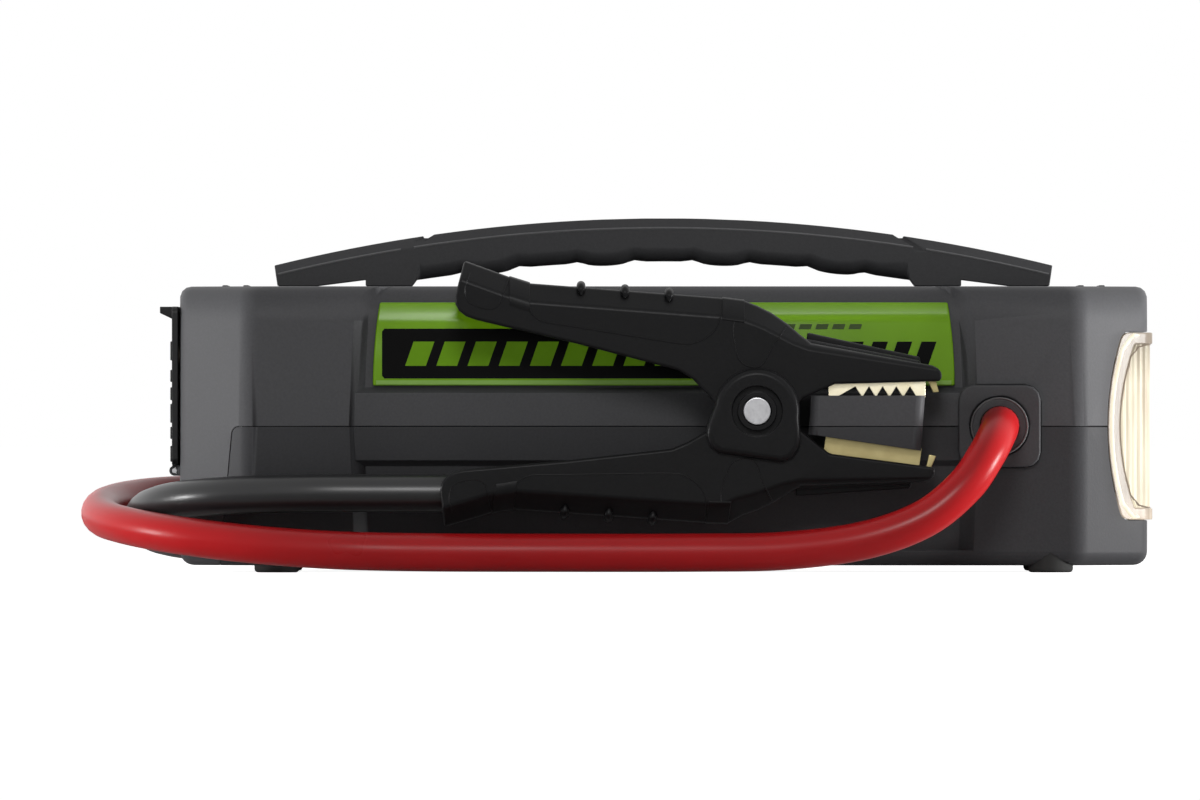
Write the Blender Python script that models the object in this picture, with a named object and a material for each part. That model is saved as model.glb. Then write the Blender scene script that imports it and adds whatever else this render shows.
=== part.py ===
"""Jump starter pack: a two-shell power pack with a carrying handle, a lamp in one end, a port cover on the other,
and two heavy leads whose clamps are stored on docks at the front and the back.

Metres, +Z up, +X towards the lamp, -Y towards the front. The pack stands on its feet at z = 0, and places are
measured from the middle of the housing unless a comment says otherwise.
"""

import math

import bmesh
import bpy
from mathutils import Matrix, Vector

for old in list(bpy.data.objects):
    bpy.data.objects.remove(old)

MM = 0.001

# Common values
GAP = 0.3 * MM  # clearance between pieces that touch
CUT = 10 * MM  # how far a cutter reaches past what it cuts
LAP = 1 * MM  # how far joined shapes run into each other
ROUND_SIDES = 24
SCREW_SIDES = 12
FRONT, REAR = -1, 1  # sides of the pack along Y

# Housing
BODY_LENGTH = 420 * MM
BODY_DEPTH = 150 * MM
BODY_HEIGHT = 121 * MM
FOOT_DROP = 3 * MM  # how far the feet stand below the housing
PARTING_RISE = 60.4 * MM  # parting line above the housing's underside
WALL = 3 * MM
CORNER_CHAMFER = 29.5 * MM
CORNER_RADIUS = 12 * MM
SIDE_DRAFT = 2.5 * MM  # how far the front leans in from the parting line
SHOULDER_RISE = 15 * MM  # rounded top edge of the front and rear, its height
SHOULDER_RUN = 11 * MM  # and its width
END_RADIUS = 4.8 * MM  # rounded top edge of the ends
UNDER_RADIUS = 6 * MM  # rounded bottom edges
SKIRT_TOP = 23 * MM  # the upper shell's skirt on the left end, its width at the parting line
SKIRT_FOOT = 17.4 * MM  # and at the underside
SKIRT_RADIUS = 3 * MM
TOP_RIB_WIDTH = 2.4 * MM
TOP_RIB_HEIGHT = 0.6 * MM
TOP_RIB_LENGTH = 60 * MM
TOP_RIB_INSETS = (19.5 * MM, 28.6 * MM)  # from the housing's end

# Long recess on the front and rear, with the label above a belt
RECESS_LENGTH = 272.6 * MM
RECESS_FOOT = 6.6 * MM  # above the housing's underside
POCKET_DEPTH = 6.3 * MM
BELT_DEPTH = 2.2 * MM  # how far the belt lies behind the face
BELT_ABOVE = 14.3 * MM  # belt edges from the parting line
BELT_BELOW = 14.8 * MM
BELT_BEVEL = 3 * MM
LABEL_LENGTH = 252 * MM
LABEL_TOP = 7 * MM  # below the housing's top
LABEL_THICKNESS = 2.4 * MM
LABEL_TAPER = 3 * MM  # each end narrows by this towards the top

# Finger well in the top, below the handle
WELL_LENGTH = 188 * MM
WELL_WIDTH = 56 * MM
WELL_DEPTH = 16 * MM
WELL_SLOPE = 6 * MM  # how far its walls lean in
WELL_RADIUS = 12 * MM

# Feet and shell screws
FOOT_RADIUS = 9.8 * MM
FOOT_SOCKET = 8 * MM  # depth of the socket in the housing
FOOT_INSET = 42.4 * MM  # from the housing's end
FOOT_SIDE_INSET = 12.4 * MM  # from the housing's side
FOOT_WALL = 2.5 * MM
POST_RADIUS = 5 * MM
POST_SPACING = 250 * MM  # between the left and right posts
SCREW_RADIUS = 1.7 * MM
SCREW_HEAD_RADIUS = 3.4 * MM
SCREW_HEAD = 2.6 * MM
SCREW_BITE = 12 * MM  # how far a screw goes past the parting line
SCREW_SEAT = 16 * MM  # head seat below the parting line

# Handle
HANDLE_RISE = 29.8 * MM  # crown above the housing's top
HANDLE_ARC = 709 * MM  # radius of the crown line
HANDLE_THICKNESS = 18.7 * MM
HANDLE_WIDTH = 30 * MM
HANDLE_LENGTH = 339.7 * MM
HANDLE_LEAN = 1.9 * MM  # how much each end draws in towards its foot
HANDLE_LIFT = 3 * MM  # space below the bar at the legs
HANDLE_HEEL = 17.2 * MM  # length at each end that rests on the housing
LEG_SPACING = 239 * MM
LEG_LENGTH = 20.2 * MM
LEG_SLANT = 2 * MM
CROWN_DEPTH = 4.3 * MM  # bevel along both edges of the crown, its height
CROWN_WIDTH = 21 * MM  # and the width that it leaves
NOTCH_SPACING = 204.6 * MM  # between the two notches across the crown
NOTCH_WIDTH = 4.2 * MM
NOTCH_SLANT = 9.2 * MM  # how far a notch runs outwards on the bevels
NOTCH_DEPTH = 1.2 * MM
FINGER_BUMP = 1.5 * MM
FINGER_PITCH = 50 * MM
FINGER_LENGTH = 24 * MM
FINGER_DIP = 0.7 * MM  # where a bump meets the plain edge beside it
FINGER_DIP_LENGTH = 5 * MM
FINGER_COUNT = 4
HANDLE_SCREW_RADIUS = 2.4 * MM
HANDLE_SCREW_HEAD = 4.6 * MM
HANDLE_SCREW_BITE = 9 * MM
HANDLE_STATIONS = 40
GRIP_STATIONS = 84

# Lamp in the right end
LAMP_HEIGHT = 81.2 * MM
LAMP_WRAP = 17.4 * MM  # how far the lens reaches round the corner, at its middle
LAMP_BULGE = 6.6 * MM  # how much less it reaches at its top and bottom
LAMP_CORNER = 4 * MM
LAMP_RIM = 5 * MM
LAMP_PROUD = 2.2 * MM  # how far the rim stands out
LENS_WALL = 3 * MM
REFLECTOR_SPACE = 7.5 * MM  # between the reflector and the cut-off corners
REFLECTOR_DEPTH = 14 * MM
REFLECTOR_WALL = 1.6 * MM
REFLECTOR_FLARE = 9 * MM
LED_BOARD = 1.6 * MM
LED_RADIUS = 3 * MM
LED_HEIGHT = 2.4 * MM
LED_PITCH = 20 * MM
LAMP_STATIONS = 12

# Port panel and its cover on the left end
PANEL_SPACE = 7.5 * MM  # between the panel and the cut-off corners
PANEL_TOP = 16 * MM  # below the housing's top
PANEL_FOOT = 5.8 * MM  # above the hinge's knuckle
PANEL_SETBACK = 1.5 * MM
PANEL_THICKNESS = 3 * MM
COVER_LAP = 4 * MM  # how far the cover reaches past the panel
COVER_TOP = 8.7 * MM  # below the housing's top
COVER_THICKNESS = 2.6 * MM
COVER_SPACE = 0.9 * MM  # from the housing's end
COVER_RIBS = ((0.22, 0.12), (0.4, 0.076), (0.51, 0.081), (0.614, 0.12), (0.76, 0.076), (0.88, 0.1))  # place, height
COVER_RIB = 0.8 * MM
COVER_RIB_LENGTH = 68 * MM
LIP_REACH = 5.6 * MM
LIP_WIDTH = 32 * MM
LIP_FRONT = 2.8 * MM
LIP_ROOT = 5.9 * MM
HINGE_RISE = 41 * MM  # cover hinge above the housing's underside
KNUCKLE_RADIUS = 2.2 * MM
KNUCKLE_LENGTH = 60 * MM
LUG_WIDTH = 6 * MM
HINGE_PIN_RADIUS = 1.1 * MM
BUTTON_RADIUS = 7 * MM
BUTTON_PROUD = 1.2 * MM
BUTTON_FLANGE = 1.6 * MM
BUTTON_DROP = 14 * MM  # below the panel's upper edge
SOCKET_ROW = 15 * MM  # above its lower edge
PORT_SPACING = 40 * MM
SOCKET_DEPTH = 7 * MM
SOCKET_WALL = 1.4 * MM
USB_WIDTH = 14 * MM
USB_HEIGHT = 6.4 * MM
JACK_RADIUS = 4.2 * MM
JACK_PIN = 1 * MM
STATUS_WIDTH = 14 * MM
STATUS_HEIGHT = 5 * MM
BOARD = 1.6 * MM

# Cable glands
LEAD_RADIUS = 8.25 * MM
GLAND_X = 145.3 * MM
GLAND_SIZE = 35.6 * MM
GLAND_RADIUS = 6.5 * MM
GLAND_PROUD = 3 * MM
GLAND_SINK = 1.3 * MM
GROMMET_RADIUS = 12.6 * MM
GROMMET_PROUD = 1.6 * MM
TERMINAL_RADIUS = 6 * MM
TERMINAL_COLLAR = 6 * MM

# Clamps, with x and z from the pivot, as the upper lever lies on its dock
PIVOT_X = 40.2 * MM
PIVOT_RISE = 66.9 * MM  # above the housing's underside
CLAMP_CLEARANCE = 2.2 * MM  # between a clamp's cheek and the belt
GRIP_ANGLE = math.radians(8.3)  # how far the jaws stand open on the dock
LEVER_WIDTH = 32 * MM
LEVER_WALL = 2.6 * MM
CHEEK_WIDTH = 42 * MM  # across the lower lever's outer cheeks
CHEEK_RADIUS = 18.4 * MM
CHEEK_FOOT = 20.4 * MM  # from the pin, on the side away from the round
CHEEK_FOOT_WIDTH = 40.8 * MM
CHEEK_FLARE = 9 * MM  # where the cheek has its full width
CHEEK_CORNER = 6.5 * MM
CHEEK_GROOVE = 10.9 * MM  # outer radius of the groove round the pin
CHEEK_HUB = 8.7 * MM
GROOVE_DEPTH = 1.6 * MM
EAR_RADIUS = 15 * MM  # of the upper lever's inner cheeks
PIN_RADIUS = 6 * MM
PIN_SINK = 0.6 * MM
GRIP_REACH = 131 * MM
GRIP_END_RISE = 65 * MM  # outer corner of the flared grip end
GRIP_END_LEAN = 4.6 * MM
FLARE_REACH = 107 * MM
FLARE_RISE = 58 * MM
COLLAR_REACH = 98 * MM
COLLAR_RISE = 55.2 * MM
ELBOW_REACH = 16 * MM
ELBOW_RISE = 49 * MM
ELBOW_LENGTH = 10.6 * MM
NOSE_ROOT = 18 * MM
NOSE_ROOT_RISE = 33.5 * MM
NOSE_COVER = 2.1 * MM  # between the jaw's end and the nose's wall
NOSE_RIB_SETBACK = 8 * MM  # from the tip of the nose
NOSE_RIB_RISE = 22.6 * MM
NOSE_RIB_STEP = 1.8 * MM
NOSE_END_RISE = 19 * MM
NOSE_TIP_RISE = 16 * MM
NOSE_NARROWING = 0.78  # width of the nose's tip over the lever's width
JAW_SEAT_RISE = 11.7 * MM  # inner edge of the nose
JAW_START = 31 * MM
THROAT_RISE = 5.6 * MM
THROAT_REACH = 20 * MM
GRIP_INNER = ((27.5, 13.7), (34, 17.7), (77.3, 29))  # mm, inner edge of the grip, behind and above the pivot
GRIP_INNER_RISE = 40.6 * MM  # inner corner of the flared end
GRIP_END_CORNER = 6 * MM
LOWER_BACK = 2 * MM  # how much further from the pivot the lower lever's back lies
LOWER_INNER = 3.7 * MM  # and the inner edge of its grip
LOWER_SEAT = 1.9 * MM  # and the root of its nose
LOWER_THROAT = 5.9 * MM  # and its throat, which lets the upper lever swing past
RIDGE_COUNT = 3
RIDGE_REACH = 76 * MM  # furthest finger ridge
RIDGE_PITCH = 19 * MM
RIDGE_WIDTH = 3.6 * MM
RIDGE_RISE = 2.6 * MM
RIDGE_SKIRT = 4 * MM
RIDGE_PROUD = 0.8 * MM

# Jaws and docks
BITE_RISE = 5.8 * MM  # tooth tips above the pivot
TOOTH_COUNT = 5
TOOTH_PITCH = 5.9 * MM
TOOTH_HEIGHT = 4.8 * MM
TOOTH_LEAD = 5.4 * MM  # longer slope of the first gap
JAW_NIB = 3.7 * MM  # plain end past the last tooth
JAW_WIDTH = 19 * MM
JAW_SHEET = 1.5 * MM
JAW_REACH = 72.7 * MM
DOCK_START = 23.4 * MM
DOCK_LENGTH = 49.1 * MM
DOCK_LIP = 1.2 * MM  # how far the dock's head stands past its neck
DOCK_HEAD = 5.2 * MM
DOCK_EDGE = 4 * MM  # rounded edges of the head
DOCK_SPACE = 2.2 * MM  # between the nearer jaw and the head

# Clamp springs
SPRING_RADIUS = 8.4 * MM
SPRING_WIRE = 1.15 * MM
SPRING_PITCH = 3.25 * MM
SPRING_TURNS = 4
SPRING_TURN_POINTS = 10
UPPER_LEG = (-0.713, 0.701)  # directions of the two legs
LOWER_LEG = (-0.745, -0.667)
UPPER_LEG_LENGTH = 56.6 * MM
LOWER_LEG_LENGTH = 55.6 * MM

# Leads
LEAD_ENTRY_REACH = 128.2 * MM  # lead's end behind the pivot
LEAD_ENTRY_DROP = 35.5 * MM  # and below it
LEAD_STEP = 20 * MM

# Battery and power module
CELL_COUNT = 4
CELL_LENGTH = 65 * MM
CELL_HEADROOM = 10.1 * MM  # free height between the links and the finger well
CELL_SPACE = 0.6 * MM
CELL_LEFT = 149 * MM  # left end of the battery, from the middle
TRAY_WALL = 2 * MM
TRAY_SPACE = 1.9 * MM  # between the tray and the screw posts
TRAY_HEIGHT = 14 * MM
LINK_LENGTH = 44 * MM
LINK_WIDTH = 18 * MM
LINK_SHEET = 2 * MM
LINK_OFFSET = 28 * MM
MODULE_LENGTH = 38 * MM
MODULE_WIDTH = 48 * MM
MODULE_HEIGHT = 72 * MM
MODULE_FINS = 5
FIN_DEPTH = 5 * MM

# Worked out
BODY_BOTTOM = FOOT_DROP
BODY_TOP = BODY_BOTTOM + BODY_HEIGHT
PARTING_Z = BODY_BOTTOM + PARTING_RISE
LEFT_END = -BODY_LENGTH / 2
RIGHT_END = BODY_LENGTH / 2
COVER_OUTER = LEFT_END - COVER_SPACE - COVER_THICKNESS
BODY_X = (COVER_SPACE + COVER_THICKNESS + LIP_REACH - LAMP_PROUD) / 2  # puts the origin mid-length
BELT_FACE = BODY_DEPTH / 2 - BELT_DEPTH
BELT_TOP = PARTING_Z + BELT_ABOVE
GLAND_SEAT = BODY_DEPTH / 2 - GLAND_SINK
CLAMP_Y = BELT_FACE + CLAMP_CLEARANCE + CHEEK_WIDTH / 2
PIVOT_Z = BODY_BOTTOM + PIVOT_RISE
FOOT_X = BODY_LENGTH / 2 - FOOT_INSET
FOOT_Y = BODY_DEPTH / 2 - FOOT_SIDE_INSET
CAVITY_DEPTH = BODY_DEPTH / 2 - SIDE_DRAFT - POCKET_DEPTH - WALL  # half, behind the recess
END_CAVITY_DEPTH = BODY_DEPTH / 2 - SIDE_DRAFT - WALL
POST_X = POST_SPACING / 2
POST_Y = CAVITY_DEPTH - POST_RADIUS
FLOOR_Z = BODY_BOTTOM + WALL
CEILING_Z = BODY_TOP - WALL
PANEL_Z = BODY_BOTTOM + HINGE_RISE + KNUCKLE_RADIUS + PANEL_FOOT
PANEL_HEIGHT = BODY_TOP - PANEL_TOP - PANEL_Z
PANEL_WIDTH = BODY_DEPTH - 2 * (CORNER_CHAMFER + PANEL_SPACE)
COVER_WIDTH = PANEL_WIDTH + 2 * COVER_LAP
BUTTON_ROW = PANEL_HEIGHT - BUTTON_DROP
REFLECTOR_WIDTH = BODY_DEPTH - 2 * (CORNER_CHAMFER + REFLECTOR_SPACE)
NOSE_REACH = JAW_REACH + NOSE_COVER + 2 * LEVER_WALL
NOSE_RIB_END = NOSE_REACH - NOSE_RIB_SETBACK
CELL_WIDTH = 2 * (POST_Y - POST_RADIUS - TRAY_SPACE - TRAY_WALL - GAP)
CELL_FOOT = FLOOR_Z + GAP + TRAY_WALL + GAP
CELL_TOP = BODY_TOP - WELL_DEPTH - WALL - CELL_HEADROOM - LINK_SHEET - GAP
PANEL_FACE = LEFT_END + PANEL_SETBACK
PANEL_BACK = PANEL_FACE + PANEL_THICKNESS
HINGE_X = LEFT_END - KNUCKLE_RADIUS - GAP
HINGE_Z = BODY_BOTTOM + HINGE_RISE


# Shapes

def along(axis, u, v, w):
    """The point with (u, v) across an axis and w along it."""
    return {"X": (w, u, v), "Y": (u, w, v), "Z": (u, v, w)}[axis]


def solid(name, points, faces):
    """A mesh object whose faces all point out."""
    shape = bmesh.new()
    corners = [shape.verts.new(point) for point in points]
    for face in faces:
        shape.faces.new([corners[i] for i in face])
    bmesh.ops.recalc_face_normals(shape, faces=shape.faces)
    mesh = bpy.data.meshes.new(name)
    shape.to_mesh(mesh)
    shape.free()
    made = bpy.data.objects.new(name, mesh)
    bpy.context.collection.objects.link(made)
    return made


def loft(name, loops):
    """A closed solid through loops of equally many points, capped at both ends."""
    count = len(loops[0])
    points = [point for loop in loops for point in loop]
    faces = [range(count), range(len(points) - count, len(points))]
    for low in range(0, len(points) - count, count):
        for i in range(count):
            j = (i + 1) % count
            faces.append((low + i, low + j, low + count + j, low + count + i))
    return solid(name, points, faces)


def prism(name, outline, axis, low, high):
    """An outline pushed along an axis."""
    return loft(name, [[along(axis, u, v, w) for u, v in outline] for w in (low, high)])


def box(name, low, high):
    (x0, y0, z0), (x1, y1, z1) = low, high
    return prism(name, [(x0, y0), (x1, y0), (x1, y1), (x0, y1)], "Z", z0, z1)


def turned(name, profile, axis, centre, sides=ROUND_SIDES):
    """A round solid through (radius, place along the axis) pairs."""
    turns = [2 * math.pi * i / sides for i in range(sides)]
    loops = []
    for radius, place in profile:
        ring = [along(axis, radius * math.cos(a), radius * math.sin(a), place) for a in turns]
        loops.append([Vector(centre) + Vector(point) for point in ring])
    return loft(name, loops)


def rounded(corners, radius, steps=3):
    """An outline with its corners made round. radius is one size, or one for each corner."""
    radii = radius if isinstance(radius, (list, tuple)) else [radius] * len(corners)
    outline = []
    for i, corner in enumerate(corners):
        here = Vector(corner)
        before = Vector(corners[i - 1]) - here
        after = Vector(corners[(i + 1) % len(corners)]) - here
        if radii[i] == 0:
            outline.append(tuple(here))
            continue
        half = before.angle(after) / 2
        reach = min(radii[i] / math.tan(half), 0.49 * before.length, 0.49 * after.length)
        bend = reach * math.tan(half)
        middle = here + (before.normalized() + after.normalized()).normalized() * bend / math.sin(half)
        first = here + before.normalized() * reach - middle
        last = here + after.normalized() * reach - middle
        start = math.atan2(first.y, first.x)
        sweep = (math.atan2(last.y, last.x) - start + math.pi) % (2 * math.pi) - math.pi
        for k in range(steps + 1):
            a = start + sweep * k / steps
            outline.append((middle.x + bend * math.cos(a), middle.y + bend * math.sin(a)))
    return outline


def rectangle(width, height, centre=(0, 0)):
    u, v = centre
    return [(u + i * width / 2, v + j * height / 2) for i, j in ((-1, -1), (1, -1), (1, 1), (-1, 1))]


def combine(target, operation, *others):
    """Joins, cuts or intersects the target with each other solid, which is used up."""
    for other in others:
        step = target.modifiers.new("step", "BOOLEAN")
        step.operation = operation
        step.object = other
        graph = bpy.context.evaluated_depsgraph_get()
        mesh = bpy.data.meshes.new_from_object(target.evaluated_get(graph))
        target.modifiers.clear()
        target.data = mesh
        bpy.data.objects.remove(other)
    return target


def join(target, *others):
    return combine(target, "UNION", *others)


def cut(target, *others):
    return combine(target, "DIFFERENCE", *others)


def copy(name, source):
    made = bpy.data.objects.new(name, source.data.copy())
    bpy.context.collection.objects.link(made)
    return made


def tube(name, points, radius, resolution):
    """A round tube along a line of points, with closed ends."""
    curve = bpy.data.curves.new(name, "CURVE")
    curve.dimensions = "3D"
    curve.bevel_depth = radius
    curve.bevel_resolution = resolution
    curve.use_fill_caps = True
    line = curve.splines.new("POLY")
    line.points.add(len(points) - 1)
    for knot, point in zip(line.points, points):
        knot.co = (*point, 1)
    made = bpy.data.objects.new(name, curve)
    bpy.context.collection.objects.link(made)
    return made


# Finish

def material(name, colour, roughness, metallic=0.0, alpha=1.0):
    made = bpy.data.materials.new(name)
    made.use_nodes = True
    shader = made.node_tree.nodes["Principled BSDF"]
    parts = [int(colour[i:i + 2], 16) / 255 for i in (1, 3, 5)]
    linear = [c / 12.92 if c < 0.04045 else ((c + 0.055) / 1.055) ** 2.4 for c in parts]
    shader.inputs["Base Color"].default_value = (*linear, 1)
    shader.inputs["Roughness"].default_value = roughness
    shader.inputs["Metallic"].default_value = metallic
    shader.inputs["Alpha"].default_value = alpha
    return made


HOUSING = material("housing plastic", "#2e2e30", 0.55)
TRIM = material("black moulded plastic", "#1c1c1d", 0.4)
RED_TRIM = material("red moulded plastic", "#9c1c1c", 0.4)
GRIP = material("soft grip", "#333334", 0.7)
RUBBER = material("rubber", "#1a1a1a", 0.85)
GREEN = material("green label plastic", "#76a82a", 0.3)
CLEAR = material("clear lens", "#fff3d0", 0.1, 0.0, 0.4)
MIRROR = material("vacuum plated reflector", "#d8d8d8", 0.15, 1.0)
BOARD_GREEN = material("circuit board", "#1d5a34", 0.5)
STEEL = material("steel", "#aeaeae", 0.35, 1.0)
BRASS = material("brass", "#b89a55", 0.3, 1.0)
COPPER = material("copper", "#b87333", 0.35, 1.0)
RED_JACKET = material("red cable jacket", "#9a1e1e", 0.35)
BLACK_JACKET = material("black cable jacket", "#262626", 0.35)
CELL_CASE = material("cell case", "#3f5f8f", 0.5)
MODULE_CASE = material("module case", "#8a8d91", 0.4, 1.0)


def finish(made, coat, origin=(0, 0, 0)):
    """Gives a piece its material, and its origin, on the joint's axis where it moves."""
    place = Vector(origin)
    if made.type == "MESH":
        made.data.transform(Matrix.Translation(-place))
        made.location = place
        made.data.shade_smooth()
        made.data.set_sharp_from_angle(angle=math.radians(35))
    made.data.materials.clear()
    made.data.materials.append(coat)
    return made


# Housing: two moulded shells that meet at the parting line

def side_inset(z):
    """How far the front lies behind its parting line at this height."""
    if z < PARTING_Z:
        draft = SIDE_DRAFT * (PARTING_Z - z) / PARTING_RISE
        return draft + under_inset(z)
    draft = SIDE_DRAFT * (z - PARTING_Z) / (BODY_TOP - PARTING_Z)
    rise = min(1, max(0, z - BODY_TOP + SHOULDER_RISE) / SHOULDER_RISE)
    return draft + SHOULDER_RUN * (1 - math.sqrt(1 - rise**2))


def under_inset(z):
    drop = min(UNDER_RADIUS, max(0, BODY_BOTTOM + UNDER_RADIUS - z))
    return UNDER_RADIUS - math.sqrt(UNDER_RADIUS**2 - drop**2)


def end_inset(z):
    rise = min(END_RADIUS, max(0, z - BODY_TOP + END_RADIUS))
    return under_inset(z) + END_RADIUS - math.sqrt(END_RADIUS**2 - rise**2)


def half_depth(z):
    return BODY_DEPTH / 2 - side_inset(z)


def body_heights():
    quarter = [math.pi / 2 * i / 6 for i in range(7)]
    under = [BODY_BOTTOM + UNDER_RADIUS * (1 - math.cos(a)) for a in quarter]
    shoulder = [BODY_TOP - SHOULDER_RISE * (1 - math.sin(a)) for a in quarter]
    return under + [PARTING_Z] + shoulder


def plan_outline(length, depth, chamfer):
    """Half sizes of the housing seen from above, with its corners cut off."""
    corners = []
    for i, j in ((1, -1), (1, 1), (-1, 1), (-1, -1)):
        pair = [(i * (length - chamfer), j * depth), (i * length, j * (depth - chamfer))]
        corners += pair if i * j < 0 else pair[::-1]
    return rounded(corners, CORNER_RADIUS)


def body_block():
    loops = []
    for z in body_heights():
        outline = plan_outline(BODY_LENGTH / 2 - end_inset(z), half_depth(z), CORNER_CHAMFER)
        loops.append([(x, y, z) for x, y in outline])
    return loft("body", loops)


def recess_cutter(side):
    """The long recess, whose end walls slope at 45 degrees."""
    reach = SHOULDER_RUN + SIDE_DRAFT + POCKET_DEPTH + CUT
    face = BODY_DEPTH / 2
    outline = [
        (-RECESS_LENGTH / 2 - CUT, side * (face + CUT)),
        (RECESS_LENGTH / 2 + CUT, side * (face + CUT)),
        (RECESS_LENGTH / 2 - reach, side * (face - reach)),
        (-RECESS_LENGTH / 2 + reach, side * (face - reach)),
    ]
    return prism("recess", outline, "Z", BODY_BOTTOM + RECESS_FOOT, BODY_TOP + CUT)


def mirrored(half):
    """A closed outline from its right half, listed from the bottom up."""
    return half + [(-y, z) for y, z in reversed(half)]


def pocket_floor():
    half = [(half_depth(z) - POCKET_DEPTH, z) for z in body_heights()]
    return prism("floor", mirrored(half), "X", -RECESS_LENGTH / 2 - WALL, RECESS_LENGTH / 2 + WALL)


def belt():
    low, high = PARTING_Z - BELT_BELOW, BELT_TOP
    root = POCKET_DEPTH + LAP
    half = [(half_depth(low) - root, low - BELT_BEVEL)]
    half += [(half_depth(z) - BELT_DEPTH, z) for z in (low, PARTING_Z, high)]
    half.append((half_depth(high) - root, high + BELT_BEVEL))
    return prism("belt", mirrored(half), "X", -RECESS_LENGTH / 2 - WALL, RECESS_LENGTH / 2 + WALL)


def gland_outline(extra):
    size = GLAND_SIZE + 2 * extra
    return rounded(rectangle(size, size, (GLAND_X, PARTING_Z)), GLAND_RADIUS + extra)


def across(side, near, far):
    """Lower and upper y of what lies between two distances on one side."""
    return sorted((side * near, side * far))


def gland_pad(side):
    return prism("pad", gland_outline(0), "Y", *across(side, CAVITY_DEPTH, GLAND_SEAT + GLAND_SINK / 2))


def gland_pocket(side):
    return prism("pocket", gland_outline(GAP), "Y", *across(side, GLAND_SEAT, BODY_DEPTH / 2 + CUT))


def gland_bore(side):
    low, high = across(side, CAVITY_DEPTH - CUT, BODY_DEPTH / 2 + CUT)
    bore = LEAD_RADIUS + GAP
    return turned("bore", [(bore, low), (bore, high)], "Y", (GLAND_X, 0, PARTING_Z))


def swing(x, z):
    """A point of the lower jaw, turned about the pivot onto the dock."""
    return (
        x * math.cos(GRIP_ANGLE) + z * math.sin(GRIP_ANGLE),
        -x * math.sin(GRIP_ANGLE) + z * math.cos(GRIP_ANGLE),
    )


def dock_outline(lip, trim):
    """What the two jaws close on, from the pivot: level above, sloping below."""
    rise = BITE_RISE - GAP + lip
    start, end = DOCK_START + trim, DOCK_START + DOCK_LENGTH - trim
    spots = [swing(start, -rise), swing(end, -rise), (end, rise), (start, rise)]
    return [(PIVOT_X + x, PIVOT_Z + z) for x, z in spots]


def dock(side):
    """A neck for the jaws, and a head that keeps them from sliding off."""
    neck_end = CLAMP_Y + JAW_WIDTH / 2 + DOCK_SPACE
    low, high = across(side, CAVITY_DEPTH + LAP, neck_end + LAP)
    neck = prism("neck", dock_outline(0, DOCK_LIP), "Y", low, high)
    loops = []
    for turn in (0, 30, 60, 90):
        sink = DOCK_EDGE * (1 - math.cos(math.radians(turn)))
        out = neck_end + DOCK_HEAD - DOCK_EDGE * (1 - math.sin(math.radians(turn)))
        loops.append([(x, side * out, z) for x, z in dock_outline(DOCK_LIP, sink)])
    loops.insert(0, [(x, side * neck_end, z) for x, z in dock_outline(DOCK_LIP, 0)])
    return join(neck, loft("head", loops))


def well(extra, floor):
    """The finger well below the handle, or the block round it."""
    loops = []
    for z, lean in ((floor, WELL_SLOPE), (BODY_TOP, 0), (BODY_TOP + CUT, 0)):
        size = (WELL_LENGTH + 2 * (extra - lean), WELL_WIDTH + 2 * (extra - lean))
        loops.append([(x, y, z) for x, y in rounded(rectangle(*size), WELL_RADIUS + extra)])
    return loft("well", loops)


def lamp_outline(extra):
    """The lens seen from the front: an arc on the left, running past the housing's end on the right."""
    left = RIGHT_END - LAMP_WRAP - extra
    outline = []
    for i in range(LAMP_STATIONS + 1):
        share = 2 * i / LAMP_STATIONS - 1
        outline.append((left + LAMP_BULGE * share**2, PARTING_Z + share * (LAMP_HEIGHT / 2 + extra)))
    far = RIGHT_END + LAMP_PROUD + CUT
    outline += [(far, outline[-1][1]), (far, outline[0][1])]
    corner = max(LAP, LAMP_CORNER + extra)
    return rounded(outline, [corner] + [0] * (LAMP_STATIONS - 1) + [corner, 0, 0])


def cavity():
    """The room inside, less the posts, sockets and well that stand in it."""
    loops = []
    step = RECESS_LENGTH / 2 + WALL
    for z, trim in (
        (FLOOR_Z, UNDER_RADIUS - WALL),
        (FLOOR_Z + WALL, 0),
        (BODY_TOP - SHOULDER_RISE, 0),
        (CEILING_Z, SHOULDER_RUN / 2),
    ):
        length, depth = BODY_LENGTH / 2 - WALL, END_CAVITY_DEPTH - trim
        slope = CORNER_CHAMFER - WALL * (2 - math.sqrt(2))
        middle = CAVITY_DEPTH - trim
        quarter = [(length, depth - slope), (length - slope, depth), (step + WALL, depth), (step, middle)]
        outline = quarter + [(-x, y) for x, y in reversed(quarter)]
        outline += [(-x, -y) for x, y in outline]
        loops.append([(x, y, z) for x, y in outline])
    room = loft("room", loops)
    for i in (-1, 1):
        for j in (-1, 1):
            socket = [(FOOT_RADIUS + GAP + FOOT_WALL, z) for z in (0, BODY_BOTTOM + FOOT_SOCKET + FOOT_WALL)]
            cut(room, turned("socket", socket, "Z", (i * FOOT_X, j * FOOT_Y, 0)))
            post = [(POST_RADIUS, z) for z in (0, BODY_TOP + CUT)]
            cut(room, turned("post", post, "Z", (i * POST_X, j * POST_Y, 0)))
    return cut(room, well(WALL, BODY_TOP - WELL_DEPTH - WALL))


def skirt_region(shift):
    """All that belongs to the upper shell: above the parting line, and the skirt over the left end."""
    lean = (SKIRT_TOP - SKIRT_FOOT) / PARTING_RISE
    far = BODY_LENGTH
    low = BODY_BOTTOM - CUT
    foot = LEFT_END + SKIRT_FOOT - lean * CUT + shift
    line = PARTING_Z - shift
    corners = [(-far, low), (foot, low), (LEFT_END + SKIRT_TOP + shift, line), (far, line), (far, far), (-far, far)]
    outline = rounded(corners, [0, 0, SKIRT_RADIUS, 0, 0, 0])
    return prism("region", outline, "Y", -BODY_LENGTH, BODY_LENGTH)


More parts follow.
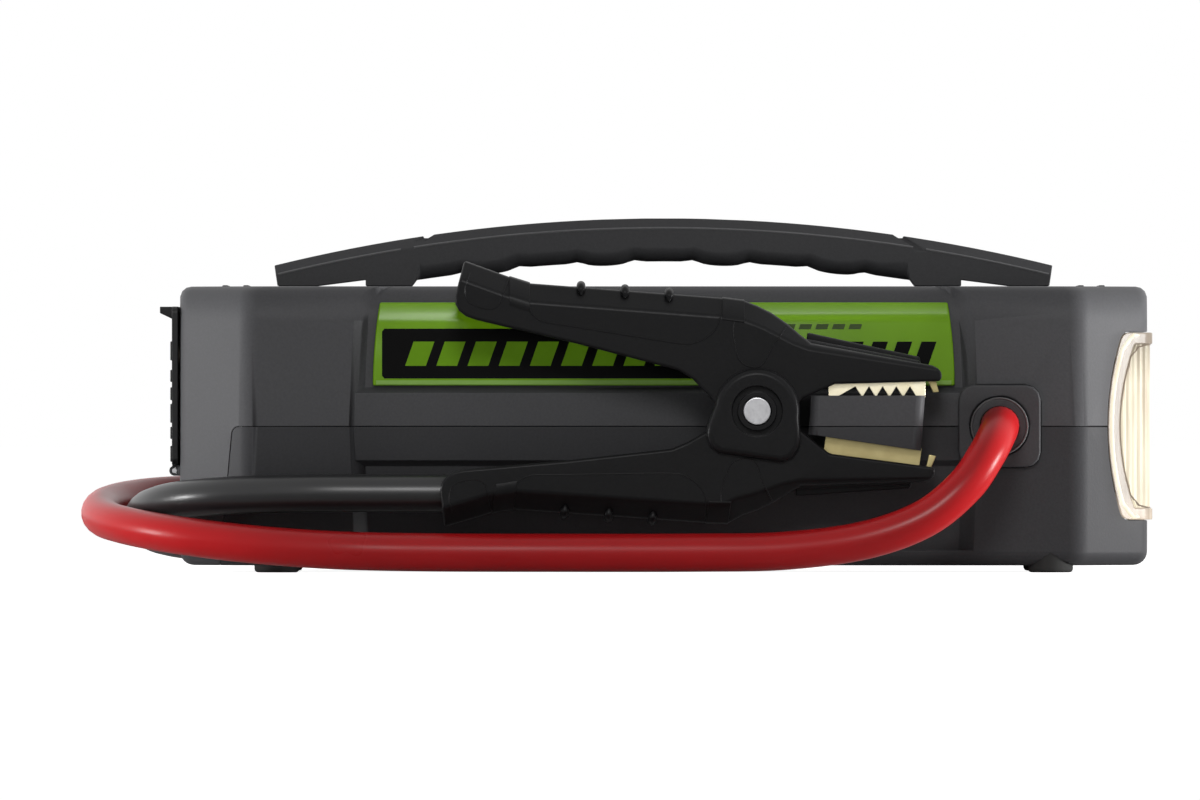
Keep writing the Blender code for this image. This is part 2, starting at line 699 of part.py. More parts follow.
def hinge_lug(side):
    """One of the two ears that hold the cover's hinge pin."""
    middle = side * (KNUCKLE_LENGTH / 2 + GAP + LUG_WIDTH / 2)
    low, high = middle - LUG_WIDTH / 2, middle + LUG_WIDTH / 2
    disc = turned("lug", [(KNUCKLE_RADIUS, low), (KNUCKLE_RADIUS, high)], "Y", (HINGE_X, 0, HINGE_Z))
    foot = box(
        "foot",
        (HINGE_X, low, HINGE_Z - KNUCKLE_RADIUS),
        (LEFT_END + LAP, high, HINGE_Z + KNUCKLE_RADIUS),
    )
    return join(disc, foot)


def top_rib(x):
    low = (x - TOP_RIB_WIDTH / 2, -TOP_RIB_LENGTH / 2, CEILING_Z + LAP)
    return box("rib", low, (x + TOP_RIB_WIDTH / 2, TOP_RIB_LENGTH / 2, BODY_TOP + TOP_RIB_HEIGHT))


def hollow_body():
    body = body_block()
    cut(body, recess_cutter(FRONT), recess_cutter(REAR))
    join(body, pocket_floor(), belt())
    for side in (FRONT, REAR):
        join(body, gland_pad(side), dock(side))
    for i in (-1, 1):
        for inset in TOP_RIB_INSETS:
            join(body, top_rib(i * (BODY_LENGTH / 2 - inset)))
    cut(body, cavity(), well(0, BODY_TOP - WELL_DEPTH))
    for side in (FRONT, REAR):
        cut(body, gland_pocket(side), gland_bore(side))
    cut(body, prism("window", lamp_outline(GAP), "Y", -BODY_DEPTH, BODY_DEPTH))
    panel = rectangle(PANEL_WIDTH + 2 * GAP, PANEL_HEIGHT + 2 * GAP, (0, PANEL_Z + PANEL_HEIGHT / 2))
    return cut(body, prism("opening", rounded(panel, WALL), "X", LEFT_END - CUT, LEFT_END + CUT))


def screw_hole(radius, x, y, low, high, sides=SCREW_SIDES):
    return turned("hole", [(radius, low), (radius, high)], "Z", (x, y, 0), sides)


def shells():
    upper = hollow_body()
    lower = copy("lower_shell", upper)
    upper.name = "upper_shell"
    region = skirt_region(0)
    combine(upper, "INTERSECT", region)
    cut(lower, skirt_region(GAP))
    join(upper, hinge_lug(FRONT), hinge_lug(REAR))
    pin_hole = [(HINGE_PIN_RADIUS + GAP, y) for y in (-COVER_WIDTH, COVER_WIDTH)]
    cut(upper, turned("hole", pin_hole, "Y", (HINGE_X, 0, HINGE_Z)))
    seat = PARTING_Z - SCREW_SEAT
    for i in (-1, 1):
        hole = HANDLE_SCREW_RADIUS + GAP
        cut(upper, screw_hole(hole, i * LEG_SPACING / 2, 0, CEILING_Z - CUT, BODY_TOP + CUT))
        for j in (-1, 1):
            x, y = i * POST_X, j * POST_Y
            cut(lower, screw_hole(SCREW_HEAD_RADIUS + GAP, x, y, -CUT, seat))
            cut(lower, screw_hole(SCREW_RADIUS + GAP, x, y, seat - CUT, PARTING_Z + CUT))
            cut(upper, screw_hole(SCREW_RADIUS + GAP, x, y, PARTING_Z - CUT, PARTING_Z + SCREW_BITE + GAP))
            socket = BODY_BOTTOM + FOOT_SOCKET
            cut(lower, screw_hole(FOOT_RADIUS + GAP, i * FOOT_X, j * FOOT_Y, -CUT, socket, ROUND_SIDES))
    finish(upper, HOUSING)
    finish(lower, HOUSING)


def feet_and_screws():
    number = 0
    seat = PARTING_Z - SCREW_SEAT - GAP
    for i in (-1, 1):
        for j in (-1, 1):
            number += 1
            edge = FOOT_RADIUS - LAP
            foot = [(edge, 0), (FOOT_RADIUS, LAP), (FOOT_RADIUS, BODY_BOTTOM + FOOT_SOCKET - GAP)]
            finish(turned(f"foot_{number}", foot, "Z", (i * FOOT_X, j * FOOT_Y, 0)), RUBBER)
            screw = [
                (SCREW_HEAD_RADIUS, seat - SCREW_HEAD),
                (SCREW_HEAD_RADIUS, seat),
                (SCREW_RADIUS, seat),
                (SCREW_RADIUS, PARTING_Z + SCREW_BITE),
            ]
            finish(turned(f"shell_screw_{number}", screw, "Z", (i * POST_X, j * POST_Y, 0), SCREW_SIDES), STEEL)


# Handle: an arched bar on two legs, with a bevelled crown

def crown(x):
    return BODY_TOP + HANDLE_RISE - HANDLE_ARC + math.sqrt(HANDLE_ARC**2 - x**2)


def bar_underside(x):
    """The grip's lower edge, with its finger bumps and a small dip at each end of a bump."""
    bump = 0
    for i in range(FINGER_COUNT):
        place = (i - (FINGER_COUNT - 1) / 2) * FINGER_PITCH
        bump += FINGER_BUMP * max(0, 1 - (2 * (x - place) / FINGER_LENGTH) ** 2)
        bump -= FINGER_DIP * max(0, 1 - abs(abs(x - place) - FINGER_LENGTH / 2) / FINGER_DIP_LENGTH)
    return max(crown(x) - HANDLE_THICKNESS, BODY_TOP + HANDLE_LIFT) - bump


def handle_side():
    """The handle from the side, up to past the crown: heels, legs and the grip between them."""
    end, rest, lift = HANDLE_LENGTH / 2, BODY_TOP + GAP, BODY_TOP + HANDLE_LIFT
    outer, inner = (LEG_SPACING + LEG_LENGTH) / 2, (LEG_SPACING - LEG_LENGTH) / 2
    half = [
        (end + HANDLE_LEAN * CUT / HANDLE_THICKNESS, crown(end) + CUT),
        (end - HANDLE_LEAN, rest),
        (end - HANDLE_HEEL - HANDLE_LEAN, rest),
        (outer, lift),
        (outer, rest),
        (inner, rest),
        (inner - LEG_SLANT, lift),
    ]
    grip = inner - 2 * LEG_SLANT
    spots = [grip * (1 - 2 * i / GRIP_STATIONS) for i in range(GRIP_STATIONS + 1)]
    top = [(0, crown(0) + CUT)]
    return half + [(x, bar_underside(x)) for x in spots] + [(-x, z) for x, z in reversed(half)] + top


def handle_crown():
    """The handle's cross-section with its bevelled crown, carried along the arc."""
    reach = HANDLE_LENGTH / 2 + CUT
    loops = []
    for i in range(HANDLE_STATIONS + 1):
        x = reach * (2 * i / HANDLE_STATIONS - 1)
        side, brow, top = HANDLE_WIDTH / 2, CROWN_WIDTH / 2, crown(x)
        half = [(x, side, BODY_TOP), (x, side, top - CROWN_DEPTH), (x, brow, top)]
        loops.append(half + [(x, -y, z) for x, y, z in reversed(half)])
    return loft("crown", loops)


def handle_notch(side):
    """A shallow slot across the crown that turns outwards on the two bevels."""
    middle = side * NOTCH_SPACING / 2
    brow, edge = CROWN_WIDTH / 2, HANDLE_WIDTH / 2
    loops = []
    for share in (-2, 0, 0, 2):
        y = brow + (edge - brow) * abs(share)
        x = middle + side * NOTCH_SLANT * abs(share)
        floor = crown(middle) - NOTCH_DEPTH - abs(share) * (CROWN_DEPTH + crown(middle) - crown(middle + NOTCH_SLANT))
        y = -y if len(loops) < 2 else y
        near, far = x - NOTCH_WIDTH / 2, x + NOTCH_WIDTH / 2
        loops.append([(near, y, floor), (far, y, floor), (far, y, floor + CUT), (near, y, floor + CUT)])
    return loft("notch", loops)


def handle():
    bar = prism("handle_bar", handle_side(), "Y", -HANDLE_WIDTH, HANDLE_WIDTH)
    combine(bar, "INTERSECT", handle_crown())
    cut(bar, handle_notch(-1), handle_notch(1))
    for i in (-1, 1):
        hole = HANDLE_SCREW_RADIUS + GAP
        high = BODY_TOP + HANDLE_SCREW_BITE + GAP
        cut(bar, screw_hole(hole, i * LEG_SPACING / 2, 0, BODY_TOP - CUT, high))
    finish(bar, GRIP)
    head = CEILING_Z - GAP
    for i, name in ((-1, "handle_screw_left"), (1, "handle_screw_right")):
        screw = [
            (HANDLE_SCREW_HEAD, head - HANDLE_SCREW_HEAD),
            (HANDLE_SCREW_HEAD, head),
            (HANDLE_SCREW_RADIUS, head),
            (HANDLE_SCREW_RADIUS, BODY_TOP + HANDLE_SCREW_BITE),
        ]
        finish(turned(name, screw, "Z", (i * LEG_SPACING / 2, 0, 0), SCREW_SIDES), STEEL)


# Labels: curved plates that lie in the recess above the belt

def label(name, side):
    low = BELT_TOP + BELT_BEVEL + GAP
    loops = []
    for i in range(9):
        z = low + (BODY_TOP - LABEL_TOP - low) * i / 8
        face = half_depth(z) - POCKET_DEPTH + GAP
        half = LABEL_LENGTH / 2 - LABEL_TAPER * (i / 8) ** 2
        loops.append([
            (-half, side * face, z),
            (half, side * face, z),
            (half, side * (face + LABEL_THICKNESS), z),
            (-half, side * (face + LABEL_THICKNESS), z),
        ])
    finish(loft(name, loops), GREEN)


# Lamp: a clear lens that wraps the right end, with a reflector and a board of LEDs behind it

def end_band(name, out, back):
    """A wall that follows the housing's right end, from out past its face to back behind it."""
    low, high = BODY_BOTTOM, BODY_TOP
    half_length, half_wide = BODY_LENGTH / 2, BODY_DEPTH / 2 - SIDE_DRAFT / 2
    outer = prism(name, plan_outline(half_length + out, half_wide + out, CORNER_CHAMFER), "Z", low, high)
    trim = CORNER_CHAMFER - back * (2 - math.sqrt(2))
    inner = prism("inner", plan_outline(half_length - back, half_wide - back, trim), "Z", low - CUT, high + CUT)
    return cut(outer, inner)


def lamp():
    pane = end_band("lamp_lens", 0, LENS_WALL)
    combine(pane, "INTERSECT", prism("outline", lamp_outline(-LAMP_RIM + LAP), "Y", -BODY_DEPTH, BODY_DEPTH))
    rim = end_band("rim", LAMP_PROUD, LENS_WALL)
    combine(rim, "INTERSECT", prism("outline", lamp_outline(0), "Y", -BODY_DEPTH, BODY_DEPTH))
    cut(rim, prism("opening", lamp_outline(-LAMP_RIM), "Y", -BODY_DEPTH, BODY_DEPTH))
    finish(join(pane, rim), CLEAR)

    front = RIGHT_END - LENS_WALL - GAP
    back = front - REFLECTOR_DEPTH
    loops = {"outer": [], "inner": []}
    for x, grow in ((back, -REFLECTOR_FLARE), (front, 0)):
        height = LAMP_HEIGHT - 2 * LAMP_RIM + 2 * grow
        for kind, wall in (("outer", 0), ("inner", REFLECTOR_WALL)):
            size = (REFLECTOR_WIDTH + 2 * grow - 2 * wall, height - 2 * wall)
            outline = rounded(rectangle(*size, (0, PARTING_Z)), LAMP_CORNER)
            loops[kind].append([(x, y, z) for y, z in outline])
    bowl = loft("lamp_reflector", loops["outer"])
    hole = [[(x + (x - back - REFLECTOR_DEPTH / 2) * 0.02, y, z) for x, y, z in loop] for loop in loops["inner"]]
    finish(cut(bowl, loft("hole", hole)), MIRROR)

    width = REFLECTOR_WIDTH - 2 * REFLECTOR_FLARE
    height = LAMP_HEIGHT - 2 * LAMP_RIM - 2 * REFLECTOR_FLARE
    plate = rectangle(width, height, (0, PARTING_Z))
    board = prism("led_board", plate, "X", back - GAP - LED_BOARD, back - GAP)
    for i in (-1, 0, 1):
        for j in (-0.5, 0.5):
            dome = [(LED_RADIUS, 0), (LED_RADIUS, LED_BOARD), (LED_RADIUS / 2, LED_BOARD + LED_HEIGHT)]
            place = (back - GAP - LED_BOARD / 2, i * LED_PITCH, PARTING_Z + j * LED_PITCH)
            join(board, turned("led", dome, "X", place, SCREW_SIDES))
    finish(board, BOARD_GREEN)


# Left end: a panel of buttons and sockets, behind a hinged cover with a pull lip

def panel_spot(row, offset):
    return (0, offset, PANEL_Z + row)


def port_panel():
    plate = rounded(rectangle(PANEL_WIDTH, PANEL_HEIGHT, (0, PANEL_Z + PANEL_HEIGHT / 2)), WALL)
    panel = prism("port_panel", plate, "X", PANEL_FACE, PANEL_BACK)
    through = (PANEL_FACE - CUT, PANEL_BACK + CUT)
    for offset in (-PORT_SPACING / 2, PORT_SPACING / 2):
        hole = [(BUTTON_RADIUS + GAP, x) for x in through]
        cut(panel, turned("hole", hole, "X", panel_spot(BUTTON_ROW, offset)))
    usb = rectangle(USB_WIDTH + 2 * GAP, USB_HEIGHT + 2 * GAP, (-PORT_SPACING / 2, PANEL_Z + SOCKET_ROW))
    jack = [(JACK_RADIUS + SOCKET_WALL + GAP, x) for x in through]
    window = rectangle(STATUS_WIDTH + 2 * GAP, STATUS_HEIGHT + 2 * GAP, (0, PANEL_Z + BUTTON_ROW))
    cut(panel, prism("hole", usb, "X", *through), prism("hole", window, "X", *through))
    finish(cut(panel, turned("hole", jack, "X", panel_spot(SOCKET_ROW, PORT_SPACING / 2))), TRIM)


def panel_pieces():
    flange = PANEL_BACK + GAP
    for name, offset in (("power_button", -PORT_SPACING / 2), ("lamp_button", PORT_SPACING / 2)):
        profile = [
            (BUTTON_RADIUS - LAP, PANEL_FACE - BUTTON_PROUD),
            (BUTTON_RADIUS, PANEL_FACE - BUTTON_PROUD + LAP / 2),
            (BUTTON_RADIUS, flange),
            (BUTTON_RADIUS + LAP, flange),
            (BUTTON_RADIUS + LAP, flange + BUTTON_FLANGE),
        ]
        spot = panel_spot(BUTTON_ROW, offset)
        finish(turned(name, profile, "X", spot), TRIM, (PANEL_FACE, spot[1], spot[2]))
    back = PANEL_FACE + SOCKET_DEPTH
    usb_spot = (-PORT_SPACING / 2, PANEL_Z + SOCKET_ROW)
    usb = prism("usb_socket", rectangle(USB_WIDTH, USB_HEIGHT, usb_spot), "X", PANEL_FACE, back)
    mouth = rectangle(USB_WIDTH - 2 * SOCKET_WALL / 2, USB_HEIGHT - 2 * SOCKET_WALL / 2, usb_spot)
    finish(cut(usb, prism("mouth", mouth, "X", PANEL_FACE - CUT, back - SOCKET_WALL)), STEEL)
    spot = panel_spot(SOCKET_ROW, PORT_SPACING / 2)
    jack = turned("charge_socket", [(JACK_RADIUS + SOCKET_WALL, x) for x in (PANEL_FACE, back)], "X", spot)
    cut(jack, turned("mouth", [(JACK_RADIUS, x) for x in (PANEL_FACE - CUT, back - SOCKET_WALL)], "X", spot))
    contact = [(JACK_PIN, x) for x in (PANEL_FACE + SOCKET_WALL, back - SOCKET_WALL / 2)]
    finish(join(jack, turned("contact", contact, "X", spot, SCREW_SIDES)), TRIM)
    lens = rectangle(STATUS_WIDTH, STATUS_HEIGHT, (0, PANEL_Z + BUTTON_ROW))
    finish(prism("status_light", lens, "X", PANEL_FACE, back), CLEAR)
    plate = rectangle(PANEL_WIDTH, PANEL_HEIGHT, (0, PANEL_Z + PANEL_HEIGHT / 2))
    finish(prism("control_board", plate, "X", back + GAP, back + GAP + BOARD), BOARD_GREEN)


def port_cover():
    top = BODY_TOP - COVER_TOP
    inner = COVER_OUTER + COVER_THICKNESS
    low = HINGE_Z + KNUCKLE_RADIUS + GAP
    plate = rounded(rectangle(COVER_WIDTH, top - low, (0, (top + low) / 2)), WALL)
    cover = prism("port_cover", plate, "X", COVER_OUTER, inner)
    lip = [
        (COVER_OUTER + LAP, top),
        (COVER_OUTER - LIP_REACH, top),
        (COVER_OUTER - LIP_REACH, top - LIP_FRONT),
        (COVER_OUTER + LAP, top - LIP_ROOT),
    ]
    join(cover, prism("lip", lip, "Y", -LIP_WIDTH / 2, LIP_WIDTH / 2))
    half = COVER_RIB_LENGTH / 2
    for place, share in COVER_RIBS:
        z = top - place * (top - low)
        tall = share * (top - low)
        join(cover, box("rib", (COVER_OUTER - COVER_RIB, -half, z - tall), (COVER_OUTER + LAP, half, z)))
    ends = (-KNUCKLE_LENGTH / 2, KNUCKLE_LENGTH / 2)
    root = box("root", (COVER_OUTER, ends[0], HINGE_Z), (inner, ends[1], low + LAP))
    knuckle = turned("knuckle", [(KNUCKLE_RADIUS, y) for y in ends], "Y", (HINGE_X, 0, HINGE_Z))
    join(cover, root, knuckle)
    pin_hole = [(HINGE_PIN_RADIUS + GAP, y) for y in (-COVER_WIDTH, COVER_WIDTH)]
    cut(cover, turned("hole", pin_hole, "Y", (HINGE_X, 0, HINGE_Z)))
    finish(cover, TRIM, (HINGE_X, 0, HINGE_Z))
    reach = KNUCKLE_LENGTH / 2 + GAP + LUG_WIDTH
    pin = [(HINGE_PIN_RADIUS, -reach), (HINGE_PIN_RADIUS, reach)]
    finish(turned("cover_hinge_pin", pin, "Y", (HINGE_X, 0, HINGE_Z), SCREW_SIDES), STEEL)


# Glands: a plate, a rubber grommet and the terminal that the lead ends in

def gland(prefix, side, lead):
    inner, outer = GLAND_SEAT + GAP, BODY_DEPTH / 2 + GLAND_PROUD
    plate = prism(f"{prefix}_gland", gland_outline(0), "Y", *across(side, inner, outer))
    centre = (GLAND_X, 0, PARTING_Z)
    hole = [(GROMMET_RADIUS + GAP, y) for y in across(side, inner - CUT, outer + CUT)]
    finish(cut(plate, turned("hole", hole, "Y", centre)), TRIM)
    lip = outer + GROMMET_PROUD
    ring = [(GROMMET_RADIUS, side * inner), (GROMMET_RADIUS, side * (lip - LAP)), (GROMMET_RADIUS - LAP, side * lip)]
    grommet = turned(f"{prefix}_grommet", ring, "Y", centre)
    bore = [(LEAD_RADIUS + GAP, y) for y in across(side, inner - CUT, outer + CUT)]
    finish(cut(grommet, turned("bore", bore, "Y", centre)), RUBBER)
    collar = BODY_DEPTH / 2 - GAP
    stud = [
        (TERMINAL_RADIUS, side * (MODULE_WIDTH / 2 + GAP)),
        (TERMINAL_RADIUS, side * (collar - TERMINAL_COLLAR)),
        (LEAD_RADIUS, side * (collar - TERMINAL_COLLAR)),
        (LEAD_RADIUS, side * collar),
    ]
    finish(turned(f"{lead}_terminal", stud, "Y", centre), BRASS)


# Clamps: two levers on a pin, with a spring between them and a brass jaw in each nose

def outer_edge(upper):
    """The lever's back, from the end of the grip to the tip of the nose."""
    drop = 0 if upper else LOWER_BACK
    return [
        (-GRIP_REACH + GRIP_END_LEAN, GRIP_END_RISE + 2 * drop),
        (-FLARE_REACH, FLARE_RISE + drop),
        (-COLLAR_REACH, COLLAR_RISE + drop),
        (-ELBOW_REACH, ELBOW_RISE + drop),
        (-ELBOW_REACH + ELBOW_LENGTH, ELBOW_RISE - LEVER_WALL / 2 + drop),
        (NOSE_ROOT, NOSE_ROOT_RISE),
        (NOSE_RIB_END, NOSE_RIB_RISE),
        (NOSE_RIB_END, NOSE_RIB_RISE - NOSE_RIB_STEP),
        (NOSE_REACH - LEVER_WALL, NOSE_END_RISE),
    ]


def lever_outline(upper):
    """The whole lever from the side. The upper one has an ear round the pin, and the lower one stays clear of it."""
    outline = outer_edge(upper)
    outline += [
        (NOSE_REACH, NOSE_TIP_RISE),
        (NOSE_REACH - LAP, JAW_SEAT_RISE + LAP),
        (JAW_START + LEVER_WALL, JAW_SEAT_RISE if upper else JAW_SEAT_RISE + LOWER_SEAT),
        (THROAT_REACH, THROAT_RISE),
    ]
    if upper:
        turns = [math.radians(-10 - 16 * i) for i in range(11)]
        outline += [(EAR_RADIUS * math.cos(a), EAR_RADIUS * math.sin(a)) for a in turns]
    throat, inner = (0, 0) if upper else (LOWER_THROAT, LOWER_INNER)
    outline.append((-THROAT_REACH, THROAT_RISE + throat))
    outline += [(-x * MM, z * MM + inner) for x, z in GRIP_INNER]
    outline += [
        (-GRIP_REACH + GRIP_END_LEAN, GRIP_INNER_RISE + inner),
        (-GRIP_REACH, GRIP_INNER_RISE + GRIP_END_CORNER + inner),
    ]
    return outline


def channel_outline(upper):
    """The hollow inside a lever, open towards the other lever."""
    edge = [(x, z - LEVER_WALL) for x, z in outer_edge(upper)]
    edge[0] = (edge[0][0] + LEVER_WALL, edge[0][1] - LEVER_WALL)
    edge[-2] = (NOSE_RIB_END, NOSE_RIB_RISE - NOSE_RIB_STEP - LEVER_WALL)
    edge[-1] = (NOSE_REACH - 2 * LEVER_WALL, NOSE_END_RISE - LEVER_WALL)
    back = -GRIP_REACH + LEVER_WALL
    return edge + [
        (NOSE_REACH - 2 * LEVER_WALL, -CHEEK_RADIUS),
        (back, -CHEEK_RADIUS),
        (back, GRIP_INNER_RISE + GRIP_END_CORNER),
    ]


def ridge_spots(upper):
    """Finger ridges along the straight back of the grip."""
    slope = (COLLAR_RISE - ELBOW_RISE) / (COLLAR_REACH - ELBOW_REACH)
    rise = ELBOW_RISE if upper else ELBOW_RISE + LOWER_BACK
    for i in range(RIDGE_COUNT):
        reach = RIDGE_REACH - i * RIDGE_PITCH
        yield -reach, rise + slope * (reach - ELBOW_REACH)


def narrowed(lever):
    """Narrows the nose towards its tip."""
    shape = bmesh.new()
    shape.from_mesh(lever.data)
    everything = list(shape.verts) + list(shape.edges) + list(shape.faces)
    root = THROAT_REACH + LAP
    bmesh.ops.bisect_plane(shape, geom=everything, dist=GAP / 30, plane_co=(root, 0, 0), plane_no=(1, 0, 0))
    for corner in shape.verts:
        share = max(0, corner.co.x - root) / (NOSE_REACH - root)
        corner.co.y *= 1 - (1 - NOSE_NARROWING) * share
    shape.to_mesh(lever.data)
    shape.free()
    return lever


def lever_block(name, width, upper):
    lever = prism(name, lever_outline(upper), "Y", -width / 2, width / 2)
    for x, z in ridge_spots(upper):
        half = width / 2 + RIDGE_PROUD
        low = (x - RIDGE_WIDTH / 2, -half, z - RIDGE_SKIRT)
        join(lever, box("ridge", low, (x + RIDGE_WIDTH / 2, half, z + RIDGE_RISE)))
    room = width / 2 - LEVER_WALL
    return narrowed(cut(lever, prism("channel", channel_outline(upper), "Y", -room, room)))


def pin_bore():
    return turned("bore", [(PIN_RADIUS + GAP, y) for y in (-CHEEK_WIDTH, CHEEK_WIDTH)], "Y", (0, 0, 0))


def cheek(side):
    """An outer cheek of the lower lever, with a round groove about the pin."""
    turns = [math.radians(15 * i) for i in range(13)]
    outline = [(CHEEK_RADIUS * math.cos(a), -CHEEK_RADIUS * math.sin(a)) for a in turns]
    half = CHEEK_FOOT_WIDTH / 2
    foot = [(-half, CHEEK_FLARE), (-half, CHEEK_FOOT), (half, CHEEK_FOOT), (half, CHEEK_FLARE)]
    outline = rounded(outline + foot, [0] * (len(outline) + 1) + [CHEEK_CORNER] * 2 + [0])
    inner, outer = LEVER_WIDTH / 2 + GAP, CHEEK_WIDTH / 2
    plate = prism("cheek", outline, "Y", *across(side, inner, outer))
    floor = across(side, outer - GROOVE_DEPTH, outer + CUT)
    ring = turned("ring", [(CHEEK_GROOVE, y) for y in floor], "Y", (0, 0, 0))
    hub = turned("hub", [(CHEEK_HUB, y) for y in across(side, inner, outer + 2 * CUT)], "Y", (0, 0, 0))
    return cut(plate, cut(ring, hub))


def lower_lever(name):
    """Built the same way up as the upper one, then turned over onto the dock's underside."""
    width = LEVER_WIDTH + 4 * GAP
    lever = lever_block(name, width, False)
    swept = EAR_RADIUS + LAP
    cut(lever, turned("swept", [(swept, y) for y in (-width, width)], "Y", (0, 0, 0)))
    join(lever, cheek(FRONT), cheek(REAR))
    cut(lever, pin_bore())
    turn_over(lever)
    entry = [(LEAD_RADIUS + GAP, x) for x in (-GRIP_REACH - 2 * CUT, -LEAD_ENTRY_REACH + LAP)]
    return cut(lever, turned("entry", entry, "X", (0, 0, -LEAD_ENTRY_DROP)))


def turn_over(piece):
    """Mirrors a piece top to bottom and swings it open."""
    piece.data.transform(Matrix.Scale(-1, 4, (0, 0, 1)))
    piece.data.flip_normals()
    piece.data.transform(Matrix.Rotation(GRIP_ANGLE, 4, "Y"))
    return piece


def jaw(name, toothed):
    """A bent brass channel, with teeth along the two edges of the upper one."""
    slope = (NOSE_ROOT_RISE - NOSE_RIB_RISE) / (NOSE_RIB_END - NOSE_ROOT)
    seat = LEVER_WALL + GAP + LAP
    start_top = NOSE_ROOT_RISE - slope * (JAW_START - NOSE_ROOT) - seat
    end_top = NOSE_END_RISE - seat
    valley = BITE_RISE + TOOTH_HEIGHT
    teeth = []
    first = JAW_REACH - JAW_NIB - TOOTH_COUNT * TOOTH_PITCH
    for i in range(TOOTH_COUNT if toothed else 0):
        x = first + i * TOOTH_PITCH
        teeth += [(x if i else x - TOOTH_LEAD, BITE_RISE), (x + TOOTH_PITCH / 2, valley)]
    if toothed:
        teeth.append((first + TOOTH_COUNT * TOOTH_PITCH, BITE_RISE))
    lower = [(JAW_START, BITE_RISE)] + teeth + [(JAW_REACH, BITE_RISE)]
    outline = lower + [(JAW_REACH, end_top), (NOSE_RIB_END - LEVER_WALL, end_top), (JAW_START, start_top)]
    channel = prism(name, outline, "Y", -JAW_WIDTH / 2, JAW_WIDTH / 2)
    hollow = [
        (JAW_START - CUT, -CUT),
        (JAW_REACH + CUT, -CUT),
        (JAW_REACH + CUT, end_top - JAW_SHEET),
        (NOSE_RIB_END - LEVER_WALL, end_top - JAW_SHEET),
        (JAW_START - CUT, start_top - JAW_SHEET + slope * CUT),
    ]
    room = JAW_WIDTH / 2 - JAW_SHEET
    return cut(channel, prism("hollow", hollow, "Y", -room, room))


def spring_points():
    """A torsion spring: a straight leg, the turns round the pin, and the other leg."""
    start = math.atan2(LOWER_LEG[0], -LOWER_LEG[1])
    end = math.atan2(-UPPER_LEG[0], UPPER_LEG[1]) + 2 * math.pi * SPRING_TURNS
    turns = (end - start) / (2 * math.pi)
    count = round(turns * SPRING_TURN_POINTS)
    side = -SPRING_PITCH * turns / 2
    coil = []
    for i in range(count + 1):
        a = start + (end - start) * i / count
        y = side + SPRING_PITCH * turns * i / count
        coil.append(Vector((SPRING_RADIUS * math.cos(a), y, SPRING_RADIUS * math.sin(a))))
    lower = coil[0] + Vector((LOWER_LEG[0], 0, LOWER_LEG[1])) * LOWER_LEG_LENGTH
    upper = coil[-1] + Vector((UPPER_LEG[0], 0, UPPER_LEG[1])) * UPPER_LEG_LENGTH
    return [lower] + coil + [upper]


def dense(points, step):
    """Points close together along a broken line."""
    line = []
    for here, there in zip(points, points[1:]):
        count = max(1, round((there - here).length / step))
        line += [here.lerp(there, i / count) for i in range(count)]
    return line + [points[-1]]


def least_self_gap(points, radius):
    """The least space between stretches of a tube that aren't next to each other."""
    step = radius
    line = dense(points, step)
    apart = round(4 * math.pi * radius / step)
    nearest = min(
        (line[i] - line[j]).length
        for i in range(len(line))
        for j in range(i + apart, len(line))
    )
    return nearest - 2 * radius


def clamp(prefix, side, plastic):
    pivot = Vector((PIVOT_X, side * CLAMP_Y, PIVOT_Z))
    upper = cut(lever_block(f"{prefix}_upper_lever", LEVER_WIDTH, True), pin_bore())
    finish(upper, plastic)
    lower = finish(lower_lever(f"{prefix}_lower_lever"), plastic)
    reach = CHEEK_WIDTH / 2 - PIN_SINK
    pin = turned(f"{prefix}_pivot_pin", [(PIN_RADIUS, -reach), (PIN_RADIUS, reach)], "Y", (0, 0, 0))
    finish(pin, STEEL)
    upper_jaw = finish(jaw(f"{prefix}_upper_jaw", True), BRASS)
    lower_jaw = finish(turn_over(jaw(f"{prefix}_lower_jaw", False)), BRASS)
    coil = spring_points()
    print(f"{prefix} spring: least gap to itself {least_self_gap(coil, SPRING_WIRE) / MM:.2f} mm")
    spring = finish(tube(f"{prefix}_spring", coil, SPRING_WIRE, 1), STEEL)
    for piece in (upper, lower, pin, upper_jaw, lower_jaw, spring):
        piece.location = pivot


# Leads: each runs from its gland, low along its own side, round the left end and into the clamp on the other side

LEAD_RUN = (  # mm; out of the gland, down to the floor and along the housing, with y away from the housing
    (145.3, 75, 63.4),
    (145.3, 95, 63.4),
    (143.6, 109, 59.5),
    (139, 121, 51),
    (129.5, 129, 37.5),
    (112, 133, 23.5),
    (86, 132.5, 14.2),
    (52, 128.5, 9.7),
    (15, 124, 8.9),
    (-45, 118, 8.8),
    (-106, 114, 9),
)
RED_LOOP = (  # mm; the outer loop round the left end, then over the other lead to the rear clamp
    (-145, -111, 10),
    (-180, -103, 12.6),
    (-210, -86, 16.2),
    (-231, -60, 19.8),
    (-243, -28, 23.2),
    (-245, 4, 27),
    (-238.5, 37, 30.2),
    (-222, 66.5, 32.6),
    (-196, 86.5, 33.8),
    (-163, 95, 34.3),
    (-125, 96, 34.4),
    (-88, 96, 34.4),
)
BLACK_LOOP = (  # mm; the inner loop, then to the front clamp
    (-140, 110, 9.4),
    (-170, 100, 10.4),
    (-197, 80, 12),
    (-216, 54, 14.6),
    (-224.5, 25, 18.2),
    (-226.6, -5, 22.6),
    (-223.5, -35, 27.4),
    (-211.5, -63, 31),
    (-189, -84.5, 33.3),
    (-158, -94, 34.3),
    (-125, -96, 34.4),
    (-88, -96, 34.4),
)


